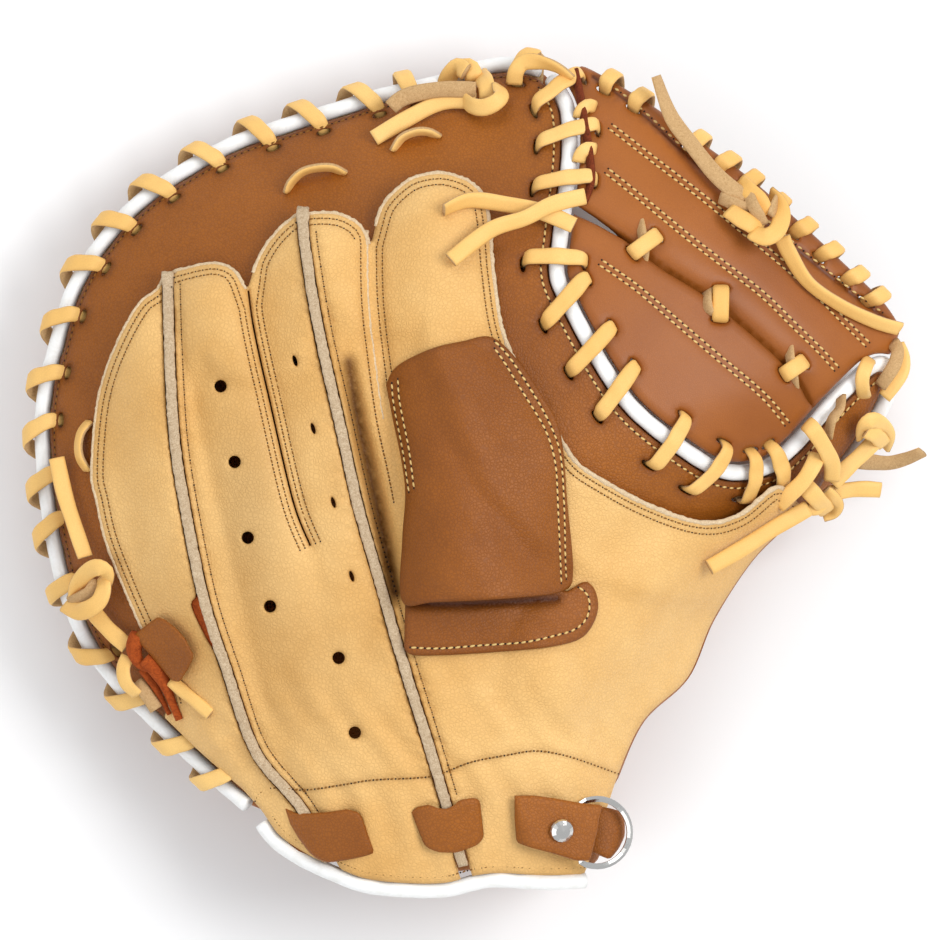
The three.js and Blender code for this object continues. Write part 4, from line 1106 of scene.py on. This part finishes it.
def creases(at):
    # Puckers beside the welts, soft rolls over the stalls, and creases near the wrist
    total = np.zeros(len(at))
    for seam, side in ((leftSeam, 1), (rightSeam, 1), (rightSeam, -1)):
        away = distanceTo(seam, at)
        run = at[:, 1] + 0.4 * at[:, 0]
        wave = np.sin(run * 1.55 + 2 * np.sin(run * 0.21 + side)) * np.sin(run * 0.37 + side)
        total += welt["pucker"] * wave * np.exp(-((away - 3.5) / 3.2) ** 2)
    x, y = at[:, 0], at[:, 1]
    wide = np.sin(0.5 * (x + 0.35 * y) + 3 * np.sin(0.07 * y)) * np.sin(0.11 * y + 0.05 * x)
    total += crease["wrist"] * wide * np.clip((crease["from"] - y) / crease["over"], 0, 1)
    soft = np.sin(0.9 * y + 1.7 * np.sin(0.16 * x)) * np.sin(0.23 * x + 0.3 * y)
    return total + crease["soft"] * soft


# Painted shade on the panels, softly darker places where they lie in soft shade: middle, half sizes,
# strength
panelShadeSpots = [
    ((256, 500), (36, 130), 0.3), ((305, 650), (44, 70), 0.16), ((340, 470), (14, 90), 0.12),
    ((150, 610), (40, 60), 0.06), ((372, 640), (16, 40), 0.12), ((540, 790), (50, 14), 0.14),
]


def panelSpotShade(at):
    total = np.zeros(len(at))
    for where, half, strength in panelShadeSpots:
        away = (at - place([where])[0]) / (np.array(half) * patternStep)
        total += strength * np.exp(-(away ** 2).sum(1))
    return total


def panelSkin(at):
    return panelTop(at) + creases(at)


panelGrooves = [*groovesAlong(edgeRows, 0.28, 0.8, 0.2), *groovesAlong([wristSeam], 0.5, 1.2, 0.25),
                *groovesAlong(seamRows, 0.7, 1.0, 0.25)]
for side, edge, holes, cell in (
        ("left", leftEdge, [], 2.0), ("centre", centreEdge, vents + [slitRing], 1.9),
        ("right", rightEdge, [fingerHole], 2.1)):
    edge = pulledInside(np.vstack(edge), bodyEdge)
    near = [groove for groove in panelGrooves if isInside(edge, groove["line"]).mean() > 0.1]
    if side == "right":
        # Painted shade darkens the deep fold beside the right welt
        near += groovesAlong([valleyLine[4:]], 0.8, 2.2, 1)
    # Painted shade near the panels' edges, along the stitch grooves and at the shade spots
    sheet(side + "_panel", edge, panelSkin, leather, [blond, cutBlond, cutBlond], ["panel_" + side],
          "blond_leather", holes=holes, cell=cell, shadeNear=0.14, grooves=near, tone=panelSpotShade)
addStitches("panel_stitches", [
    (edgeRows, lambda at: panelSkin(at) - 0.26, darkRow),
    (seamRows, lambda at: panelSkin(at) - 0.66, {**darkRow, "pitch": 1.7, "size": (1.0, 0.5, 0.3)}),
    ([wristSeam, wristRow], lambda at: panelSkin(at) - 0.2, {**darkRow, "size": (1.2, 0.6, 0.4)}),
])

# Raw edges of the panels, a little fuzzy
pile = Pile()
for row, wide in ((leftTop, 0.55), (ringTop, 0.7), (middleTop, 0.8), (stallTop, 0.85),
                  (indexTop[:-4], 0.85), (beside(stallSlit, -0.9)[:-14], 0.7)):
    row = resample(beside(row, wide * (0.4 if row is leftTop else -0.4)), 0.9)
    row = row + draws(len(row), (-0.1, 0.1), (-0.1, 0.1))
    route = np.column_stack([row, panelSkin(row) - 0.12])
    wave = np.array([(dice.uniform(0.8, 1.2), 1) for _ in route])
    points, faces = sweep(route, sideways(route), [(-wide, -0.5), (wide, -0.5), (wide * 0.8, 0.12),
                                                   (-wide * 0.8, 0.12)], wave)
    pile.add(points, faces)
pile.make("raw_edges", [rawPale])
print("panels ready")

# Hood, its base and the web
hoodRows = [
    line([(494, 343), (505, 354), (516, 369), (527, 386), (538, 404), (547, 421), (554, 437),
          (558, 450), (561, 472), (563, 515), (564, 558), (565, 578)]),
    line([(494, 350), (502, 361), (513, 379), (523, 395), (533, 411), (542, 426), (548, 440),
          (552, 454), (555, 472), (557, 515), (559, 558), (560, 582)]),
    line([(393, 384), (394, 400), (398, 422), (404, 452), (410, 492)]),
    line([(399, 380), (400, 398), (404, 420), (410, 450), (415, 488)]),
]
baseRow = line([(411, 645), (440, 646), (480, 643), (523, 640), (556, 633), (573, 628), (584, 619),
                (588, 608), (588, 598), (584, 590), (577, 586)])


def hoodSkin(at):
    # Soft creases across the hood
    x, y = at[:, 0], at[:, 1]
    waves = np.sin(0.42 * y + 0.25 * x + 2 * np.sin(0.09 * x)) * np.sin(0.13 * x - 0.06 * y)
    return crease["hood"] * waves


sheet("hood", line(hoodEdge), hoodTop, leather, brownLeather, ["index_hood"], "brown_leather", cell=1.9,
      carve=hoodSkin, shadeNear=0.25, grooves=groovesAlong(hoodRows, 0.3, 0.8, 0.2))
patchOutline = np.vstack([line(hoodBaseEdge[4:]),
                          place([(405, 640), (406, 600), (420, 586), (550, 584), (566, 590)])])
# The slot under the hood's mouth gets full painted shade along its groove
mouthLine = line([(404, 601), (450, 602), (511, 600), (556, 597)])
sheet("hood_patch", patchOutline, patchTop, leather, brownLeather, ["hood_base"], "brown_leather", cell=1.8,
      shadeNear=0.25, grooves=[*groovesAlong([baseRow], 0.3, 0.8, 0.2),
                               *groovesAlong([mouthLine], 1.6, 1.6, 1)])
addStitches("hood_stitches", [
    (hoodRows, lambda at: hoodTop(at) + hoodSkin(at) - 0.28, paleRow),
    ([baseRow], lambda at: patchTop(at) - 0.28, paleRow),
])
webSide = seamHoles(crotch, crotchWraps, -9.5, 1)
webRim = seamHoles(line(webOuter), webEdgeWraps, 5.4, -1)
tieHoles = [[], []]
for tie in webTies:
    a, b = place(tie)
    way = unit(a - b)
    for side, spot in enumerate((a - way * 0.4, b + way * 0.2)):
        tieHoles[side].append(ovalAt(spot, leftOf(way), 3.0, 0.9))


def holesWithin(outline, holes):
    inside = [hole for hole in holes if isInside(outline, hole).all()]
    return [hole for hole in inside if distanceTo(outline, hole, closed=True).min() > 0.5]


underEdge = line([(893, 352), (846, 396), (815, 428), (799, 408), (790, 391), (772, 370), (741, 343),
                  (724, 328), (698, 305), (659, 281), (643, 270), (626, 254), (617, 238), (596, 221),
                  (580, 210), (565, 195), (569, 152), (567, 110), (556, 84)])
upperEdge = np.vstack([line(webOuter), underEdge])
awayFromSeam = np.vstack([beside(crotch, 3.6), place([(1200, 470), (1200, 60), (560, -200)])])
webFold = line([(593, 77), (619, 96), (644, 117), (700, 170), (752, 214), (800, 254), (850, 294),
                (890, 322)])
webRows = [
    [(605, 124), (652, 161), (700, 198), (739, 230), (778, 262), (815, 294), (843, 322), (871, 349)],
    [(601, 169), (642, 202), (683, 236), (722, 266), (761, 296), (791, 325), (821, 354), (839, 374)],
    [(594, 261), (616, 276), (638, 292), (672, 321), (713, 356), (762, 397), (789, 429)],
]
webSeams = [beside(line(rows), side)[1:-1] for rows in webRows for side in (-0.95, 0.95)]
quilting = groovesAlong([line(rows) for rows in webRows], 0.5, 1.7, 0.12)
# The upper bar's fold line gets full painted shade in its groove, and both bars darken near their edges
for side, edge, ties, carve, grooves in (
        ("upper", upperEdge, tieHoles[0], barRound, quilting[:2] + groovesAlong([webFold], 1.3, 0.8, 1)),
        ("lower", lowerBar, tieHoles[1], None, quilting[2:])):
    edge = pulledInside(edge, awayFromSeam)
    sheet("web_bar_" + side, edge, webTop, web["thick"], [webBrown, webBrown, cutBrown], ["web_" + side],
          "brown_leather", holes=holesWithin(edge, [*webSide, *webRim, *ties]), cell=1.9, radius=1.5,
          shadeNear=0.25, carve=carve, grooves=grooves)
addStitches("web_stitches", [
    (webSeams[:4], lambda at: webTop(at) - 0.4 + barRound(at), paleRow),
    (webSeams[4:], lambda at: webTop(at) - 0.4, paleRow),
    ([beside(webFold, 1.1)[2:-2]], lambda at: webTop(at) - 0.35, {**paleRow, "pitch": 3.4}),
])
pile = Pile()
pile.strand([(575, 72, 4.4), (580, 98, 4.6), (585, 130, 4.6), (589, 160, 4.2), (590, 184, 3.4),
             (582, 206, 1.6)], 1.1, 4.2)
pile.make("web_fold", [cutRust, cutRust])
print("web ready")


# Piping and welts
def addPiping(name, seam, lift=1.2, radius=2.7):
    route = resample(np.column_stack([seam, backHeight(seam) + lift]), 1.8)
    wave = 1 + 0.02 * np.sin(np.arange(len(route)) * 1.3)[:, None]
    points, faces = sweep(route, sideways(route), circle(12) * radius, wave * (1, 1))
    return addPiece(name + "_tube", points, faces, [pipingSkin], [name])


for name, seam in (("rim", rim), ("crotch", crotch), ("wrist", wrist)):
    addPiping(name + "_piping", seam)


def addWelt(name, rows):
    seam = line(rows, 1.2)
    seam = seam + draws(len(seam), (-0.12, 0.12), (-0.12, 0.12))
    route = np.column_stack([seam, panelTop(seam) + welt["rise"]])
    x, y = welt["half"]
    section = [(-x, -y), (x, -y), (x, y - 0.4), (x - 0.4, y), (0.1, y - 0.2), (-0.1, y - 0.2),
               (-x + 0.4, y), (-x, y - 0.4)]
    wave = draws(len(route), (0.94, 1.06), (0.96, 1.04))
    wave[:4] *= (1.25, 1.1)
    points, faces = sweep(route, sideways(route), section, wave)
    return addPiece(name + "_edge", points, faces, [rawEdge], [name])


addWelt("welt_left", weltLeft)
addWelt("welt_right", weltRight)

# Laces wound round the seams
tieStrands = [
    [(638, 221), (640, 232), (643, 250), (642, 264)], [(706, 292), (705, 300), (707, 312), (712, 318)],
    [(787, 345), (788, 358), (791, 376), (793, 388)],
]
wrapLace("rim_lace", rim, rimWraps, rimTurn)
wrapLace("crotch_lace", crotch, crotchWraps, crotchTurn)
wrapLace("web_edge_lace", line(webOuter), webEdgeWraps, webTurn)
for number, (upper, lower) in enumerate(webTies, 1):
    a, b = place([upper, lower])
    away = unit(b - a)
    rows = [(a, -3.0), (a + away * 0.3, 2.0), (a + away * 1.6, 5.0), ((a + b) / 2, 5.9),
            (b - away * 1.6, 5.0), (b - away * 0.3, 2.0), (b, -3.0)]
    route = curve([(*at, offset(at, up)[0]) for at, up in rows])[::4]
    pile = Pile()
    pile.ribbon(route, np.tile([away[1], -away[0], 0], (len(route), 1)), flip=True)
    pile.strand([(*row, up) for row, up in zip(tieStrands[number - 1], (-1, 3.4, 3.6, 0))], 0.9, 4.4, True)
    pile.make(f"tie_{number}", [laceSkin, laceFlesh], [f"web_tie_{number}"])


knots = {
    "top_knot": [
        ([(446, 84, 1), (450, 74, 5), (458, 67, 8), (466, 72, 9)], 0.2, 6.2),
        ([(462, 68, 7), (470, 67, 7.5), (474, 76, 6), (473, 86, 1)], -0.1, 6),
        ([(480, 74, 2), (484, 80, 7.6), (487, 90, 8.6), (488, 100, 7)], 0.1, 6),
        ([(464, 100, 6), (472, 107, 8.6), (483, 109, 9.6), (494, 105, 10.6), (501, 98, 10.6),
          (499, 88, 8)], (0.9, 0.5, 0.2, 0.2, 0.5, 0.9), 5.8),
    ],
    "web_knot": [
        ([(738, 184, 8), (746, 192, 11.6), (757, 203, 13), (763, 217, 12)], 0.15, 6.2),
        ([(746, 196, 11), (752, 210, 13.4), (761, 226, 11)], 0.5, 4.6, True),
        ([(719, 199, 6), (730, 205, 8.4), (747, 212, 10.4)], 0.5, 4.8, True),
        ([(727, 212, 8), (738, 220, 10.6), (748, 226, 11.6), (758, 233, 10)], -0.3, 6.2),
        ([(770, 196, 8), (777, 206, 12), (779, 220, 14), (774, 233, 14.6), (763, 239, 14),
          (750, 234, 11)], (0.9, 0.6, 0.2, 0.1, 0.2, 0.6), 6.2),
        ([(769, 218, 13.6), (773, 206, 12.6), (777, 199, 9)], 0.9, 4.4, True),
    ],
    "thumb_knot_upper": [
        ([(862, 436, 6), (864, 426, 10.6), (871, 420, 12), (880, 424, 12), (887, 434, 10.6),
          (886, 446, 7)], (0.9, 0.5, 0.1, 0.1, 0.3, 0.8), 5.6),
        ([(866, 430, 11), (876, 436, 12.6), (884, 444, 11)], 0.1, 5.6),
    ],
    "thumb_knot_lower": [
        ([(805, 487, 10), (810, 492, 13), (818, 501, 14.6), (827, 511, 13)], 0.15, 6.2),
        ([(824, 491, 11), (832, 497, 13), (837, 505, 13), (833, 513, 11.6), (824, 517, 10)],
         (0.6, 0.4, 0.4, 0.6, 0.9), 5.2),
        ([(806, 506, 12), (816, 508, 13), (826, 498, 12)], 0.2, 5.2),
    ],
    "side_knot": [
        ([(76, 596, 9), (79, 584, 11.6), (87, 573, 13), (98, 567, 13.6), (107, 571, 12.6),
          (108, 580, 9)], (0.5, 0.35, 0.25, 0.1, 0.4, 0.9), 5.8),
        ([(104, 576, 9), (105, 588, 11.6), (101, 600, 13), (91, 608, 14), (79, 611, 13.6),
          (66, 605, 11)], (0.9, 0.5, 0.1, 0, 0.1, 0.3), 6),
        ([(98, 580, 9), (91, 592, 11), (80, 599, 11.6), (71, 602, 10.6)], -0.3, 5, True),
    ],
}
for name, strands in knots.items():
    addStrands(name + "_wound", strands, [name])

# Small laces beside the knots
addStrands("small_laces", [
    ([(816, 455, 7), (812, 465, 10), (802, 481, 11), (788, 495, 10), (778, 505, 8)], 0.1, 5.6),
    ([(840, 398, 4), (838, 409, 8), (830, 420, 9), (827, 436, 8)], 0.9, 4.4, True),
    ([(514, 84, 3), (516, 72, 7), (524, 63, 9), (541, 63, 9.6), (558, 69, 9), (571, 79, 6)],
     (0.1, 0.1, 0.2, 0.8, 1.1, 1.2), 5.6),
    ([(129, 656, 9), (124, 668, 11), (127, 683, 11.6), (138, 694, 9)], (0.3, 0.5, 0.5, 0.8), 5.2),
    ([(138, 681, 8), (147, 694, 9), (157, 709, 9)], 0.2, 4.6, True),
    ([(172, 680, 9.6), (184, 690, 10), (198, 701, 10.4), (212, 713, 10.2)], 0.1, 4.4),
    ([(579, 119, 3.2), (581, 112, 5.0), (587, 107, 5.8), (594, 108, 3.4)], 0.1, 4.6),
    ([(578, 164, 3.2), (580, 156, 5.0), (586, 151, 5.8), (594, 151, 3.4)], 0.1, 4.6),
    ([(893, 343, 3), (897, 351, 6.6), (894, 364, 7.6), (887, 376, 7), (880, 386, 5)], 0.2, 4.6, True),
    ([(898, 345, 2), (903, 357, 5), (902, 371, 6.4), (895, 384, 6.4), (884, 397, 5)], 0.1, 4.8),
    ([(869, 360, 2), (865, 366, 6), (861, 378, 7), (862, 390, 5.6), (864, 397, 2)], 0.1, 4.8),
])
print("knots ready")

# Pull tab: a leather tab whose end is rolled with its suede side out, and the slot beside the welt
tab = {"rise": 6.4, "crown": 0.004, "lean": 0.05, "thick": 2.0}
tabOutline = resample(place([(134, 635), (159, 616), (166, 618), (178, 627), (187, 637), (196, 655),
                             (189, 669), (181, 681), (173, 680), (152, 655)]), 1.2, closed=True)
tabUp = place([(166, 648)])[0]
slotOutline = resample(place([(190, 596), (204, 594), (226, 648), (208, 648), (196, 620)]), 1.5,
                       closed=True)
# Rolls by place with height, then half width and half height
tabRolls = [
    ([(140, 634, 9), (135, 648, 9.6), (140, 662, 10), (152, 668, 9.6), (160, 664, 9)], 3.0, 2.4),
    ([(146, 658, 10), (156, 668, 10), (166, 684, 9.4), (173, 702, 8.6), (180, 719, 8)], 2.7, 2.1),
    ([(143, 668, 8.6), (152, 680, 8), (162, 698, 7.4), (170, 714, 7)], 1.7, 1.5),
]


def tabTop(at):
    away = at - tabUp
    lean = tab["lean"] * np.abs(away[:, 0] * 0.6 + away[:, 1] * 0.8)
    return panelTop(at) + tab["rise"] - tab["crown"] * (away ** 2).sum(1) - lean


pile = Pile()
pile.slab(tabOutline, tabTop, tab["thick"], 1.7)
for rows, wide, tall in tabRolls:
    route = curve(over(rows), 1.2)
    share = np.linspace(0, 1, len(route))
    size = 0.8 + 0.2 * np.sin(share * 5 + 1) - 0.25 * share ** 4
    pile.add(*sweep(route, sideways(route), circle(14) * (wide, tall), size[:, None] * (1, 1)), 1)
pile.slab(slotOutline, lambda at: panelTop(at) - 1.6, 1.0, 1.8, 1)
pile.make("tab_roll", [brown, suede], ["pull_tab"])

# Wrist strap: three bands over the panels joined below them, and the fold inside the ring
strapBands = [
    [(285, 805), (297, 811), (309, 811), (330, 809), (348, 806), (360, 809), (363, 814), (369, 831),
     (376, 850), (362, 854), (348, 857), (329, 860), (319, 857), (311, 851), (300, 837), (291, 822)],
    [(412, 809), (416, 804), (429, 801), (440, 805), (448, 805), (455, 801), (460, 796), (476, 794),
     (480, 798), (482, 816), (484, 834), (477, 842), (457, 849), (440, 849), (431, 846), (425, 842),
     (418, 825)],
    [(514, 792), (534, 792), (554, 795), (581, 800), (601, 802), (598, 815), (596, 828), (589, 857),
     (575, 857), (550, 849), (531, 844), (516, 839), (514, 815)],
    [(598, 804), (610, 806), (619, 809), (624, 820), (624, 834), (618, 846), (609, 857), (594, 851),
     (586, 846), (592, 820)],
]
strap = {"thick": 2.1, "rise": 3.4, "crown": 0.012, "under": 1.8, "wide": 15, "hidden": 2.0}
ringBand = {"start": 514, "rise": 3.2, "climb": 0.7, "level": 86.88, "slope": 0.14}
ringFold = {"level": 76.0, "slope": 0.25, "crown": 0.05}
strapPath = [(292, 828), (330, 833), (369, 834), (412, 827), (449, 823), (485, 818), (520, 820), (560, 826)]


def bandTop(number, middle, at):
    # The third band rises to the ring, and the last one is the fold inside it
    across = at[:, 0] - middle[0]
    if number == 3:
        return ringFold["level"] - ringFold["slope"] * across - ringFold["crown"] * across ** 2
    if number == 2:
        start = at[:, 0] - place([(ringBand["start"], 0)])[0][0]
        return np.minimum(panelTop(at) + ringBand["rise"] + ringBand["climb"] * start,
                          ringBand["level"] - ringBand["slope"] * across)
    return panelTop(at) + strap["rise"] - strap["crown"] * across ** 2


pile = Pile()
for number, rows in enumerate(strapBands):
    outline = resample(place(rows), 1.3, closed=True)
    pile.slab(outline, lambda at: bandTop(number, outline.mean(0), at), strap["thick"], 1.8)
at = curve(place(strapPath), 2)
route = np.column_stack([at, panelTop(at) - leather - strap["under"]])
pile.ribbon(route, np.tile([0, 1, 0], (len(route), 1)), strap["wide"], strap["hidden"], flip=True)
pile.make("strap", [brown, cutBrown], ["wrist_strap"])
for node in ("rivet", "ring"):
    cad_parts[node].data.materials[0] = nickel
print("strap ready")
